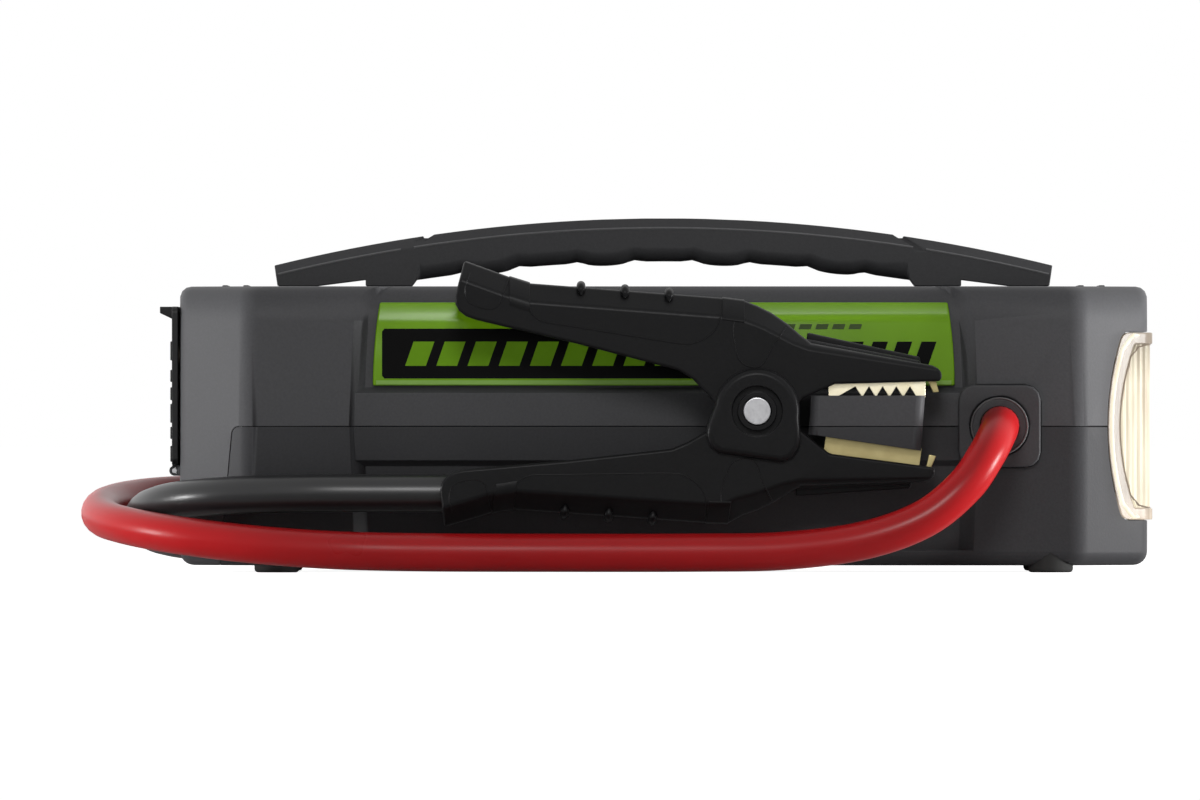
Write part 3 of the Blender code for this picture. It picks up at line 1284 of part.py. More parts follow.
def smooth_line(route, step):
    """Evenly spaced points on a smooth curve through the route."""
    ends = [2 * route[0] - route[1], *route, 2 * route[-1] - route[-2]]
    fine = []
    for before, here, there, after in zip(ends, ends[1:], ends[2:], ends[3:]):
        for i in range(24):
            t = i / 24
            pull = 2 * here + (there - before) * t
            pull += (2 * before - 5 * here + 4 * there - after) * t**2
            pull += (3 * here - before - 3 * there + after) * t**3
            fine.append(pull / 2)
    fine.append(route[-1])
    total = sum((b - a).length for a, b in zip(fine, fine[1:]))
    count = round(total / step)
    line, gone, next_mark = [fine[0]], 0.0, total / count
    for a, b in zip(fine, fine[1:]):
        length = (b - a).length
        while gone + length >= next_mark and len(line) < count:
            line.append(a.lerp(b, (next_mark - gone) / length))
            next_mark += total / count
        gone += length
    return line + [fine[-1]]


def lead(name, side, loop, jacket):
    route = [Vector((x, side * y, z)) * MM for x, y, z in LEAD_RUN] + [Vector(p) * MM for p in loop]
    line = smooth_line(route, LEAD_STEP)
    length = sum((b - a).length for a, b in zip(line, line[1:]))
    print(f"{name}: {length:.3f} m long")
    finish(tube(name, line, LEAD_RADIUS, 3), jacket)
    return line


def leads():
    red = lead("red_lead", FRONT, RED_LOOP, RED_JACKET)
    black = lead("black_lead", REAR, BLACK_LOOP, BLACK_JACKET)
    fine_red, fine_black = dense(red, LEAD_RADIUS / 2), dense(black, LEAD_RADIUS / 2)
    nearest = min((a - b).length for a in fine_red for b in fine_black)
    print(f"leads: least gap to each other {(nearest - 2 * LEAD_RADIUS) / MM:.2f} mm")


# Inside: the battery in its tray, the links between its cells, and the power module

def battery():
    left = -CELL_LEFT
    total = CELL_COUNT * CELL_LENGTH + (CELL_COUNT - 1) * CELL_SPACE
    base = FLOOR_Z + GAP
    out = TRAY_WALL + GAP
    half = CELL_WIDTH / 2
    tray = box("cell_tray", (left - out, -half - out, base), (left + total + out, half + out, base + TRAY_HEIGHT))
    seat = base + TRAY_WALL
    inside = box(
        "inside",
        (left - GAP, -half - GAP, seat),
        (left + total + GAP, half + GAP, base + TRAY_HEIGHT + CUT),
    )
    finish(cut(tray, inside), TRIM)
    for i in range(CELL_COUNT):
        x = left + i * (CELL_LENGTH + CELL_SPACE)
        face = rounded(rectangle(CELL_LENGTH, CELL_WIDTH, (x + CELL_LENGTH / 2, 0)), WALL, 2)
        finish(prism(f"battery_cell_{i + 1}", face, "Z", CELL_FOOT, CELL_TOP), CELL_CASE)
    top = CELL_TOP + GAP
    for i in range(1, CELL_COUNT):
        x = left + i * (CELL_LENGTH + CELL_SPACE) - CELL_SPACE / 2
        y = LINK_OFFSET if i % 2 else -LINK_OFFSET
        face = rounded(rectangle(LINK_LENGTH, LINK_WIDTH, (x, y)), WALL, 2)
        finish(prism(f"cell_link_{i}", face, "Z", top, top + LINK_SHEET), COPPER)


def power_module():
    base = FLOOR_Z + GAP
    half = MODULE_LENGTH / 2
    low = (GLAND_X - half, -MODULE_WIDTH / 2, base)
    block = box("power_module", low, (GLAND_X + half, MODULE_WIDTH / 2, base + MODULE_HEIGHT))
    pitch = MODULE_WIDTH / MODULE_FINS
    for i in range(MODULE_FINS):
        y = -MODULE_WIDTH / 2 + (i + 0.25) * pitch
        top = base + MODULE_HEIGHT
        slot = box("slot", (GLAND_X - half - CUT, y, top - FIN_DEPTH), (GLAND_X + half + CUT, y + pitch / 2, top + CUT))
        cut(block, slot)
    finish(block, MODULE_CASE)


shells()
feet_and_screws()
handle()
label("front_label", FRONT)
label("rear_label", REAR)
lamp()
port_panel()
panel_pieces()
port_cover()
gland("front", FRONT, "red")
gland("rear", REAR, "black")
clamp("black_clamp", FRONT, TRIM)
clamp("red_clamp", REAR, RED_TRIM)
leads()
battery()
power_module()

pack = bpy.data.objects.new("pack", None)
bpy.context.collection.objects.link(pack)
pack.location.x = BODY_X
for piece in list(bpy.data.objects):
    if piece != pack:
        piece.parent = pack
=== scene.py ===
import math

import bpy
from mathutils import Matrix, Vector
from mathutils.bvhtree import BVHTree


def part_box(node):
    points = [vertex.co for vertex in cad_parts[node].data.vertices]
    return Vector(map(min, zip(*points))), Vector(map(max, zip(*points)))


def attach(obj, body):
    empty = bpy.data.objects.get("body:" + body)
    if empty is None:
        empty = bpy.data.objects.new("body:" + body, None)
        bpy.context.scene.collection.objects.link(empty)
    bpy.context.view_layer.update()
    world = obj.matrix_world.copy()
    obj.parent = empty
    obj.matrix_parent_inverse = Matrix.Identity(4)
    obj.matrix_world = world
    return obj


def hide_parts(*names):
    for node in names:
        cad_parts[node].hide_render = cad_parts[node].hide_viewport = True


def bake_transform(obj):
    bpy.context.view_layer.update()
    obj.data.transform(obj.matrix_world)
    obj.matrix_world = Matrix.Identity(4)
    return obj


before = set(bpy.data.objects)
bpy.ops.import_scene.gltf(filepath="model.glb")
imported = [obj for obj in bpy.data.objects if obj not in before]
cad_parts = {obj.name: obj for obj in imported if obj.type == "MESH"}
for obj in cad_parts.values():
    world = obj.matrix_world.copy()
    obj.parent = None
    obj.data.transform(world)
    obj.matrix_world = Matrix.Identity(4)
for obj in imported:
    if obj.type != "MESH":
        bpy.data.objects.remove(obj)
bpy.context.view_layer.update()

# Housing shells
# The two shells are injection moulded in dark grey ABS, with a fine spark grain that breaks up the shine.
# The lower shell's grey is darker than the upper's, a painted shade for light that falls from above.
# Their long edges are eased a little, and a thin rubber seal shows as a dark line along the parting.

MM = 0.001
FRONT, REAR = -1, 1
SIDES = ((FRONT, "front"), (REAR, "rear"))
low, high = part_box("handle_bar")
HOUSING_X = (low.x + high.x) / 2  # the handle stands over the middle of the housing
HOUSING_SIDE = 75  # mm, from the middle to the front and the rear
PARTING_Z = 63.4 * MM
SHELL_EDGE = 0.3 * MM
SHELL_EDGE_LEAST = 8 * MM  # shorter edges stay sharp
SAME_SPOT = 0.01 * MM  # corners closer than this are one
SAME_FACE = math.radians(1)  # faces that turn less than this are one
SHARP = 32  # degrees that an edge turns before it is eased
ROUND = math.radians(35)  # edges that turn less than this are shaded smooth


def linear(colour):
    """An sRGB hex colour as the linear values that a shader takes."""
    parts = [int(colour[i:i + 2], 16) / 255 for i in (1, 3, 5)]
    return (*[c / 12.92 if c <= 0.04045 else ((c + 0.055) / 1.055) ** 2.4 for c in parts], 1)


def add(tree, kind, sockets=None, **settings):
    """Adds a node with its settings, and sets or links its sockets."""
    made = tree.nodes.new(kind)
    for name, value in settings.items():
        setattr(made, name, value)
    for name, value in (sockets or {}).items():
        if isinstance(value, bpy.types.NodeSocket):
            tree.links.new(value, made.inputs[name])
        else:
            made.inputs[name].default_value = value
    return made


def begin(name, roughness, metallic=0.0, shine=0.5):
    """A new material, its node tree and its shader."""
    made = bpy.data.materials.new(name)
    made.use_nodes = True
    shader = made.node_tree.nodes["Principled BSDF"]
    shader.inputs["Roughness"].default_value = roughness
    shader.inputs["Metallic"].default_value = metallic
    shader.inputs["Specular IOR Level"].default_value = shine
    return made, made.node_tree, shader


def only(piece):
    """Leaves one piece selected."""
    bpy.ops.object.select_all(action="DESELECT")
    bpy.context.view_layer.objects.active = piece
    piece.select_set(True)


def solid(name, spots, faces):
    """A closed piece with its faces turned outwards."""
    mesh = bpy.data.meshes.new(name)
    mesh.from_pydata(spots, [], faces)
    piece = bpy.data.objects.new(name, mesh)
    bpy.context.collection.objects.link(piece)
    only(piece)
    bpy.ops.object.mode_set(mode="EDIT")
    bpy.ops.mesh.select_all(action="SELECT")
    bpy.ops.mesh.normals_make_consistent(inside=False)
    bpy.ops.object.mode_set(mode="OBJECT")
    return piece


def prism(name, near, far):
    """A closed piece between two outlines that have the same number of corners."""
    count = len(near)
    faces = [range(count), range(count, 2 * count)]
    faces += [(i, (i + 1) % count, count + (i + 1) % count, count + i) for i in range(count)]
    return solid(name, [*near, *far], faces)


def finished(piece, coat, body="pack", node=None):
    """Smooths a piece, coats it, and lets it ride, by choice in place of a CAD node."""
    only(piece)
    bpy.ops.object.shade_smooth_by_angle(angle=ROUND)
    flat = piece.modifiers.new("even faces", "WEIGHTED_NORMAL")
    flat.keep_sharp = True
    bpy.ops.object.modifier_apply(modifier=flat.name)
    piece.data.materials.clear()
    piece.data.materials.append(coat)
    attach(piece, body)
    if node:
        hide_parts(node)
    return piece


def bevelled(piece, width, steps, limit="WEIGHT", angle=SHARP):
    """Rounds a piece's marked edges, or those that turn more than an angle."""
    bevel = piece.modifiers.new("bevel", "BEVEL")
    bevel.width, bevel.segments, bevel.limit_method = width, steps, limit
    bevel.angle_limit = math.radians(angle)
    bevel.use_clamp_overlap = False
    only(piece)
    bpy.ops.object.modifier_apply(modifier=bevel.name)


def merged(node, convex=True):
    """A copy of a CAD piece with its corners merged and its flat faces joined, split where not convex."""
    piece = bpy.data.objects.new(f"{node}_moulding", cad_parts[node].data.copy())
    bpy.context.collection.objects.link(piece)
    only(piece)
    bpy.ops.object.mode_set(mode="EDIT")
    bpy.ops.mesh.select_all(action="SELECT")
    bpy.ops.mesh.remove_doubles(threshold=SAME_SPOT)
    bpy.ops.mesh.dissolve_limited(angle_limit=SAME_FACE)
    if convex:
        bpy.ops.mesh.select_all(action="SELECT")
        bpy.ops.mesh.vert_connect_concave()
    bpy.ops.object.mode_set(mode="OBJECT")
    return piece


def edge_ends(piece, edge):
    """The two ends of a piece's edge."""
    return [piece.data.vertices[i].co for i in edge.vertices]


def weigh(piece, chosen):
    """Marks a piece's chosen edges for bevelling."""
    name = "bevel_weight_edge"
    weights = piece.data.attributes.get(name) or piece.data.attributes.new(name, "FLOAT", "EDGE")
    for edge in piece.data.edges:
        weights.data[edge.index].value = chosen(edge)


def weigh_sharp(piece, least):
    """Marks a piece's sharp edges for bevelling, leaving out the short ones, which would fold."""
    only(piece)
    bpy.ops.object.mode_set(mode="EDIT")
    bpy.ops.mesh.select_mode(type="EDGE")
    bpy.ops.mesh.select_all(action="DESELECT")
    bpy.ops.mesh.edges_select_sharp(sharpness=math.radians(SHARP))
    bpy.ops.object.mode_set(mode="OBJECT")

    def long_and_sharp(edge):
        a, b = edge_ends(piece, edge)
        return edge.select and (a - b).length > least

    weigh(piece, long_and_sharp)


def eased(node, edge, coat, body="pack", steps=2, least=0):
    """A CAD piece's own shape with its sharp edges eased, or only those longer than a limit."""
    piece = merged(node)
    if least:
        weigh_sharp(piece, least)
    bevelled(piece, edge, steps, "WEIGHT" if least else "ANGLE")
    return finished(piece, coat, body, node)


GRAIN = 1.1 * MM
DRIFT = 60 * MM


# Moulded plastic and rubber have the mould's spark grain, about 0.4 mm, which dulls the shine. It is drawn at
# 1.1 mm so that it shows, and the colour drifts a little over 60 mm.
def moulded(name, colour, paler, roughness, shine=0.2):
    coat, tree, shader = begin(name, roughness, shine=shine)
    place = add(tree, "ShaderNodeTexCoord").outputs["Object"]
    grit = add(tree, "ShaderNodeTexNoise", {"Vector": place, "Scale": 1 / GRAIN, "Detail": 2.0})
    grain = grit.outputs["Fac"]
    drift = add(tree, "ShaderNodeTexNoise", {"Vector": place, "Scale": 1 / DRIFT, "Detail": 3.0})
    tone = add(
        tree, "ShaderNodeMixRGB",
        {"Fac": drift.outputs["Fac"], "Color1": linear(colour), "Color2": linear(paler)},
    )
    speck = add(
        tree, "ShaderNodeMixRGB",
        {"Fac": 0.18, "Color1": tone.outputs["Color"], "Color2": grain}, blend_type="SOFT_LIGHT",
    )
    tree.links.new(speck.outputs["Color"], shader.inputs["Base Color"])
    gloss = add(
        tree, "ShaderNodeMapRange",
        {"Value": grain, "To Min": roughness - 0.06, "To Max": roughness + 0.08},
    )
    tree.links.new(gloss.outputs["Result"], shader.inputs["Roughness"])
    bump = add(tree, "ShaderNodeBump", {"Strength": 0.22, "Distance": 0.15 * MM, "Height": grain})
    tree.links.new(bump.outputs["Normal"], shader.inputs["Normal"])
    return coat


# The lower shell takes a darker copy of the upper's grey: painted shade, as if less light reached it.
upper_abs = moulded("moulded ABS upper", "#464648", "#4b4b4d", 0.5)
shaded_lower_abs = moulded("moulded ABS lower, darkened as painted shade", "#353537", "#39393b", 0.5)
for node, coat in (("upper_shell", upper_abs), ("lower_shell", shaded_lower_abs)):
    eased(node, SHELL_EDGE, coat, least=SHELL_EDGE_LEAST)

SEAL_RUNS = ((-187, -180.5, 128), (163, 180.5, 198))  # mm along the housing, on either side of the gland
SEAL_INSETS = (6, 9)  # mm from the housing's side to the seal's outer and inner edges
SEAL_DROPS = (0.28, 0.02)  # mm from the parting line down to the seal's foot and top
CORNER_SUM = 255.5  # mm, x and y of a spot on a cut-off corner come to this
seal_rubber = moulded("seal rubber", "#0e0e0e", "#141414", 0.8)


def seal_spots(run, side, inset):
    """Where a run of the seal lies, set in from the housing's side."""
    spots = []
    for x in run:
        y = min(HOUSING_SIDE - inset, CORNER_SUM - math.sqrt(2) * inset - abs(x))
        spots.append((HOUSING_X + x * MM, side * y * MM))
    return spots


for side, name in SIDES:
    for number, run in enumerate(SEAL_RUNS, 1):
        outer, inner = (seal_spots(run, side, inset) for inset in SEAL_INSETS)
        outline = outer + inner[::-1]
        foot, top = ([(x, y, PARTING_Z - drop * MM) for x, y in outline] for drop in SEAL_DROPS)
        seal = prism(f"{name}_seal_{number}", foot, top)
        finished(seal, seal_rubber)

# Feet
# Four round rubber feet are pressed into sockets under the housing. The rubber is matt and slightly dusty,
# and grips a floor or a car's boot.

FOOT_EDGE = 0.6 * MM


def mottled(name, patch, detail, dark, pale, roughness, metallic=0.0, shine=0.5, gloss=None):
    """A material whose colour, and by choice its roughness, drifts between two values in soft patches."""
    coat, tree, shader = begin(name, roughness, metallic, shine)
    place = add(tree, "ShaderNodeTexCoord").outputs["Object"]
    noise = add(tree, "ShaderNodeTexNoise", {"Vector": place, "Scale": 1 / patch, "Detail": detail})
    shade = add(
        tree, "ShaderNodeMixRGB",
        {"Fac": noise.outputs["Fac"], "Color1": linear(dark), "Color2": linear(pale)},
    )
    tree.links.new(shade.outputs["Color"], shader.inputs["Base Color"])
    if gloss:
        drift = add(
            tree, "ShaderNodeMapRange",
            {"Value": noise.outputs["Fac"], "To Min": gloss[0], "To Max": gloss[1]},
        )
        tree.links.new(drift.outputs["Result"], shader.inputs["Roughness"])
    return coat


rubber = mottled("nitrile rubber", 4 * MM, 4.0, "#1b1b1b", "#262625", 0.8)
for number in range(1, 5):
    eased(f"foot_{number}", FOOT_EDGE, rubber)

# Handle
# An arched bar in glass-filled nylon stands on two legs, held by screws from inside. Its crown is bevelled
# along both edges, with a shallow notch near each end. A thin pale bead on each bevel's lower edge is a
# painted highlight.

HOUSING_TOP = 124 * MM
BAR_SIDE = 14.9 * MM  # the bar's sides lie just outside this
GRIP_HALF = 107.6 * MM  # half the length of the grip between the legs
GRIP_UNDER = 14 * MM  # the grip's underside lies lower than this over the housing
UNDER_ROUND = 6 * MM  # its lower edges are well rounded
BAR_EDGE = 0.4 * MM
BAR_EDGE_LEAST = 1 * MM
grip_coat = moulded("textured nylon", "#333335", "#3a3a3b", 0.5)
# Pale nylon for painted highlights: the beads along the crown's creases and round the grommets' mouths.
highlight_nylon = moulded("pale nylon, painted highlight", "#59595a", "#626263", 0.4)
bar = merged("handle_bar", convex=False)


def under_grip(edge):
    """Whether an edge of the bar runs along the grip's underside."""
    a, b = edge_ends(bar, edge)
    along = abs(a.y - b.y) < SAME_SPOT and abs(a.y) > BAR_SIDE
    below = max(a.z, b.z) < HOUSING_TOP + GRIP_UNDER
    between = max(abs(a.x - HOUSING_X), abs(b.x - HOUSING_X)) < GRIP_HALF
    return along and below and between


weigh(bar, under_grip)
bevelled(bar, UNDER_ROUND, 4)
weigh_sharp(bar, BAR_EDGE_LEAST)
bevelled(bar, BAR_EDGE, 2)
finished(bar, grip_coat, node="handle_bar")

HANDLE_ARC = 709 * MM  # radius of the crown line
CREASE_TOP = HOUSING_TOP + (29.8 - 4.3) * MM  # where the bevel meets the side, at the middle
CREASE_SIDE = 14.75 * MM
CREASE_BEAD = 0.5 * MM
CREASE_STEPS = 24
CREASE_RUNS = ((-167.6, -114.2), (-108.6, 108.6), (114.2, 167.6))  # mm, between the ends and the notches


def wire(name, points, radius, resolution=3, swell=None):
    """A thin round bead along a line, made a mesh. swell gives its thickness at each point."""
    curve = bpy.data.curves.new(name, "CURVE")
    curve.dimensions = "3D"
    curve.bevel_depth, curve.bevel_resolution, curve.use_fill_caps = radius, resolution, True
    line = curve.splines.new("POLY")
    line.points.add(len(points) - 1)
    for i, point in enumerate(points):
        line.points[i].co = (*point, 1)
        line.points[i].radius = swell[i] if swell else 1.0
    piece = bpy.data.objects.new(name, curve)
    bpy.context.collection.objects.link(piece)
    only(piece)
    bpy.ops.object.convert(target="MESH")
    return bpy.context.object


# Pale beads along the creases: a painted highlight.
for side, name in SIDES:
    for number, (left, right) in enumerate(CREASE_RUNS, 1):
        path = []
        for i in range(CREASE_STEPS + 1):
            x = (left + (right - left) * i / CREASE_STEPS) * MM
            drop = HANDLE_ARC - math.sqrt(HANDLE_ARC**2 - x**2)
            path.append(Vector((HOUSING_X + x, side * CREASE_SIDE, CREASE_TOP - drop)))
        bead = wire(f"handle_{name}_crease_{number}", path, CREASE_BEAD, 2)
        finished(bead, highlight_nylon)

# Labels
# A glossy green plate is glued in the recess on each side, with a black printed panel and plain slanted bars.
# The print is a thin film on the plate's face. A pale green line along the plate's foot, laid the same way,
# is a painted highlight.

DRAFT = 2.5 / 60.6  # the face leans back this much for each step up
LABEL_FACE = 71.4 * MM  # face of the plate at the height of the parting line
LABEL_EDGE = 0.7 * MM
TOP_BAND = 7 * MM  # the plate's face leans back along its upper edge
TOP_LEAN = 1.2 * MM
FACE_NEAR = 0.6 * MM  # corners this close to the face lean with it
FILM = 0.15 * MM  # thickness of the print
ON_PLATE, ON_PANEL = 0.05 * MM, 0.25 * MM  # where print starts, over the plate's face
BAR_LEAN = 0.35  # of a bar's height

# Cast acrylic is glossy, with a faint haze in patches of about 30 mm.
green_plate = mottled(
    "green acrylic plate", 30 * MM, 3.0, "#75a914", "#80b51c", 0.22, shine=0.2, gloss=(0.16, 0.28)
)


def printed_ink(name, colour, worn):
    """Screen-printed ink, a little uneven over a few millimetres."""
    return mottled(name, 5 * MM, 3.0, colour, worn, 0.3, shine=0.05)


black_ink = printed_ink("black ink", "#030303", "#070707")
green_ink = printed_ink("green ink", "#6d9e1c", "#76a822")
highlight_ink = printed_ink("pale green, painted highlight", "#8db85a", "#97c264")
grey_ink = printed_ink("grey ink", "#4d5f38", "#566842")

# Outlines of the print and of the painted highlight line, in mm from the housing's middle and from the floor.
HIGHLIGHT_LINE = ((-124.6, 81.4), (124.6, 81.4), (124.6, 83.2), (-124.6, 83.2))
PRINT_PANEL = ((-121, 84), (16, 84), (24, 105.6), (-121, 105.6), (-122, 104.4), (-122, 85.2))
PRINT_ROWS = (  # mark, how many, left end of the first, pitch, width, foot, top, where it starts, and ink
    ("bar", 9, -112, 13.5, 9, 89.5, 100, ON_PANEL, green_ink),
    ("block", 5, 66, 10.5, 6.5, 89.5, 100, ON_PLATE, black_ink),
    ("dash", 6, 44, 7.2, 5.2, 105.4, 107.6, ON_PLATE, grey_ink),
)


def printed(name, corners, lift, coat, side):
    """A flat mark on the plate, from its corners in millimetres."""
    outlines = []
    for depth in (0.0, FILM):
        outline = []
        for x, z in corners:
            face = LABEL_FACE - DRAFT * (z * MM - PARTING_Z) + lift + depth
            outline.append((HOUSING_X - side * x * MM, side * face, z * MM))
        outlines.append(outline)
    finished(prism(name, *outlines), coat)


def slanted(left, right, low, high):
    """Corners of a bar whose ends lean."""
    lean = BAR_LEAN * (high - low)
    return [(left, low), (right, low), (right + lean, high), (left + lean, high)]


def chamfer_top(plate):
    """Leans the plate's face back along its upper edge."""
    low, high = (pick(corner.co.z for corner in plate.data.vertices) for pick in (min, max))
    face = max(abs(corner.co.y) for corner in plate.data.vertices)
    only(plate)
    bpy.ops.object.mode_set(mode="EDIT")
    bpy.ops.mesh.select_all(action="SELECT")
    bpy.ops.mesh.bisect(plane_co=(0, 0, high - TOP_BAND), plane_no=(0, 0, 1))
    bpy.ops.object.mode_set(mode="OBJECT")
    for corner in plate.data.vertices:
        if abs(corner.co.y) > face - DRAFT * (corner.co.z - low) - FACE_NEAR:
            share = max(0, (corner.co.z - high) / TOP_BAND + 1)
            corner.co.y -= math.copysign(TOP_LEAN * share, corner.co.y)


for side, name in SIDES:
    chamfer_top(eased(f"{name}_label", LABEL_EDGE, green_plate))
    # pale painted highlight along the plate's foot
    printed(f"{name}_highlight_line", HIGHLIGHT_LINE, ON_PLATE, highlight_ink, side)
    printed(f"{name}_print_panel", PRINT_PANEL, ON_PLATE, black_ink, side)
    for mark, count, first, pitch, width, foot, top, lift, ink in PRINT_ROWS:
        for i in range(count):
            left = first + pitch * i
            corners = slanted(left, left + width, foot, top)
            printed(f"{name}_print_{mark}_{i + 1}", corners, lift, ink, side)

# Lamp
# The lens is moulded in warm-tinted clear polycarbonate, with upright flutes that spread the light, and a
# raised rim that wraps the housing's end. It is lit, so its middle glows, and the rim's strong glow is partly
# a painted highlight.

LENS_END = 210  # mm, from the housing's middle to its end
LENS_EDGE = 0.5 * MM
STREAK = 3 * MM
STREAK_STRETCH = (1.0, 1.0, 0.05)  # makes the streaks 20 times as tall as they are wide
CLEAR_SHARE = 0.2  # how much of its colour clear plastic shows without the lamp
GLOW_DROP = 12 * MM  # from the parting line down to the middle of the glow
GLOW_SHAPE = (0.3, 0.2, 1)  # the glow is wider than it is tall
GLOW_NEAR, GLOW_FAR = 32 * MM, 50 * MM  # where the glow starts to fade, and where it is faint
FOOT_NEAR, FOOT_FAR = 28 * MM, 39 * MM  # under the parting line, where light gathers at the lens's foot


# Clear plastic seen against a plated bowl: cream, with upright streaks about 3 mm wide.
def lens_plastic(name, dark, pale, glow, top_glow, foot_glow):
    coat, tree, shader = begin(name, 0.3, shine=0.2)
    place = add(tree, "ShaderNodeTexCoord").outputs["Object"]
    tall_place = add(tree, "ShaderNodeMapping", {"Vector": place, "Scale": STREAK_STRETCH}).outputs["Vector"]
    streak = add(tree, "ShaderNodeTexNoise", {"Vector": tall_place, "Scale": 1 / STREAK, "Detail": 2.0})
    contrast = add(
        tree, "ShaderNodeMapRange", {"Value": streak.outputs["Fac"], "From Min": 0.35, "From Max": 0.65},
    )
    shade = add(
        tree, "ShaderNodeMixRGB",
        {"Fac": contrast.outputs["Result"], "Color1": linear(dark), "Color2": linear(pale)},
    ).outputs["Color"]
    clear = add(
        tree, "ShaderNodeMixRGB",
        {"Fac": 1.0, "Color1": shade, "Color2": (CLEAR_SHARE, CLEAR_SHARE, CLEAR_SHARE, 1)},
        blend_type="MULTIPLY",
    )
    tree.links.new(clear.outputs["Color"], shader.inputs["Base Color"])
    glow_middle = (HOUSING_X + LENS_END * MM, 0, PARTING_Z - GLOW_DROP)
    offset = add(tree, "ShaderNodeVectorMath", {0: place, 1: glow_middle}, operation="SUBTRACT")
    from_middle = offset.outputs["Vector"]
    flat = add(tree, "ShaderNodeVectorMath", {0: from_middle, 1: GLOW_SHAPE}, operation="MULTIPLY")
    away = add(tree, "ShaderNodeVectorMath", {0: flat.outputs["Vector"]}, operation="LENGTH").outputs["Value"]
    fade = add(
        tree, "ShaderNodeMapRange",
        {"Value": away, "From Min": GLOW_NEAR, "From Max": GLOW_FAR, "To Min": glow, "To Max": top_glow},
    ).outputs["Result"]
    level = add(tree, "ShaderNodeSeparateXYZ", {"Vector": place}).outputs["Z"]
    foot_from, foot_to = PARTING_Z - FOOT_NEAR, PARTING_Z - FOOT_FAR
    foot = add(
        tree, "ShaderNodeMapRange",
        {"Value": level, "From Min": foot_from, "From Max": foot_to, "To Max": foot_glow},
    ).outputs["Result"]
    total = add(tree, "ShaderNodeMath", {0: fade, 1: foot}, operation="ADD")
    tree.links.new(shade, shader.inputs["Emission Color"])
    tree.links.new(total.outputs["Value"], shader.inputs["Emission Strength"])
    return coat


flange_plastic = lens_plastic("polycarbonate flange", "#bfae9b", "#d6c6b3", 0.25, 0.2, 0.5)
# The rim glows far more than the flange: partly lamp light in the clear plastic, partly a painted highlight
# that makes the bead near white.
rim_glow_and_highlight = lens_plastic("polycarbonate rim, lamp glow and painted highlight", "#f4e8cc", "#fffbe6", 0.9, 0.8, 0.0)
pane_plastic = lens_plastic("polycarbonate pane, lit", "#cdbca6", "#fff5da", 0.75, 0.2, 0.1)
edge_plastic = lens_plastic("polycarbonate edge", "#7d7163", "#8f8172", 0.8, 0.8, 0.0)
eased("lamp_lens", LENS_EDGE, flange_plastic).visible_shadow = False  # it is clear

LENS_PLAN = ((180.5, 73.6), (209.3, 45.4), (LENS_END, 40.5))  # mm, the end's outline at one corner
LENS_OUT = ((0.4, 0.92), (0.92, 0.4), (1, 0))  # the way out at each of these spots
LENS_WRAP = 17.4  # mm, how far the lens reaches round the corner
LENS_BULGE = 6.6  # mm, how much less at its top and bottom
LENS_HEIGHT = 81.2 * MM
SIDE_STEPS = 16
SIDE_SHARE = 0.97  # of the lens's height, which its curved side takes
CORNER_FROM, CORNER_SHARE = 0.85, 0.12  # of half its height, where the side turns in at a corner
CORNER_IN = 2.2  # mm, how far it turns in
FLUTE_PITCH = 3.4 * MM
FLUTE_DEPTH = 0.7 * MM
FLUTE_POINTS = 8
PANE_INSET = 5.2 * MM  # from the lens's edge to the fluted pane
PANE_SUNK, PANE_PROUD = 0.3 * MM, 0.5 * MM  # its back and its face, from the housing's outline
RIM_BEAD = 1.25 * MM  # radius of the raised line round the lens's edge
RIM_OUT = 2.9 * MM  # its height over the housing's corner
RIM_ENDS = (203.6, 205.0, 206.4)  # mm along the housing, where the rim runs on along the top and the foot
EDGE_BEAD = 0.4 * MM  # radius of the darker line round the pane
EDGE_OUT = 1.1 * MM


def lens_corner(side, out):
    """The housing's outline at one corner of the lens, moved out from its face."""
    spots = [Vector((HOUSING_X + x * MM, side * y * MM, 0)) for x, y in LENS_PLAN]
    shifts = [Vector((x, y * side, 0)) for x, y in LENS_OUT]
    return [spot + shift * out for spot, shift in zip(spots, shifts)]


def on_corner(side, x, out):
    """The spot on the cut-off corner at a distance along the housing."""
    first, last = lens_corner(side, out)[:2]
    share = (HOUSING_X + x * MM - first.x) / (last.x - first.x)
    return first.lerp(last, min(max(share, 0), 1))


def lens_side(side, inset, out):
    """A line up one curved edge of the lens, set in from the edge."""
    tall = LENS_HEIGHT / 2 - inset
    line = []
    for i in range(SIDE_STEPS + 1):
        share = 2 * SIDE_SHARE * i / SIDE_STEPS - SIDE_SHARE
        bulge = LENS_BULGE * share**2
        corner = CORNER_IN * max(0, abs(share) - CORNER_FROM) / CORNER_SHARE
        x = LENS_END - LENS_WRAP + inset / MM + bulge + corner
        line.append(on_corner(side, x, out) + Vector((0, 0, PARTING_Z + share * tall)))
    return line


def lens_loop(inset, out):
    """A closed line on the lens: up the front edge, across, and down the rear one."""
    tall = LENS_HEIGHT / 2 - inset
    line = []
    for side, level in ((FRONT, tall), (REAR, -tall)):
        edge = lens_side(side, inset, out)
        across = lens_corner(side, out)[1:] + lens_corner(-side, out)[:0:-1]
        line += edge if side == FRONT else edge[::-1]
        line += [spot + Vector((0, 0, PARTING_Z + level)) for spot in across]
    return line + [line[0]]


def walk(points, step):
    """Places along a line at even steps, each with its distance along the line and the way out from it."""
    spots = []
    carried, before = step / 2, 0
    for a, b in zip(points, points[1:]):
        way = (b - a).normalized()
        length = (b - a).length
        while carried < length:
            spots.append((a + way * carried, before + carried, Vector((way.y, -way.x, 0))))
            carried += step
        carried -= length
        before += length
    return spots


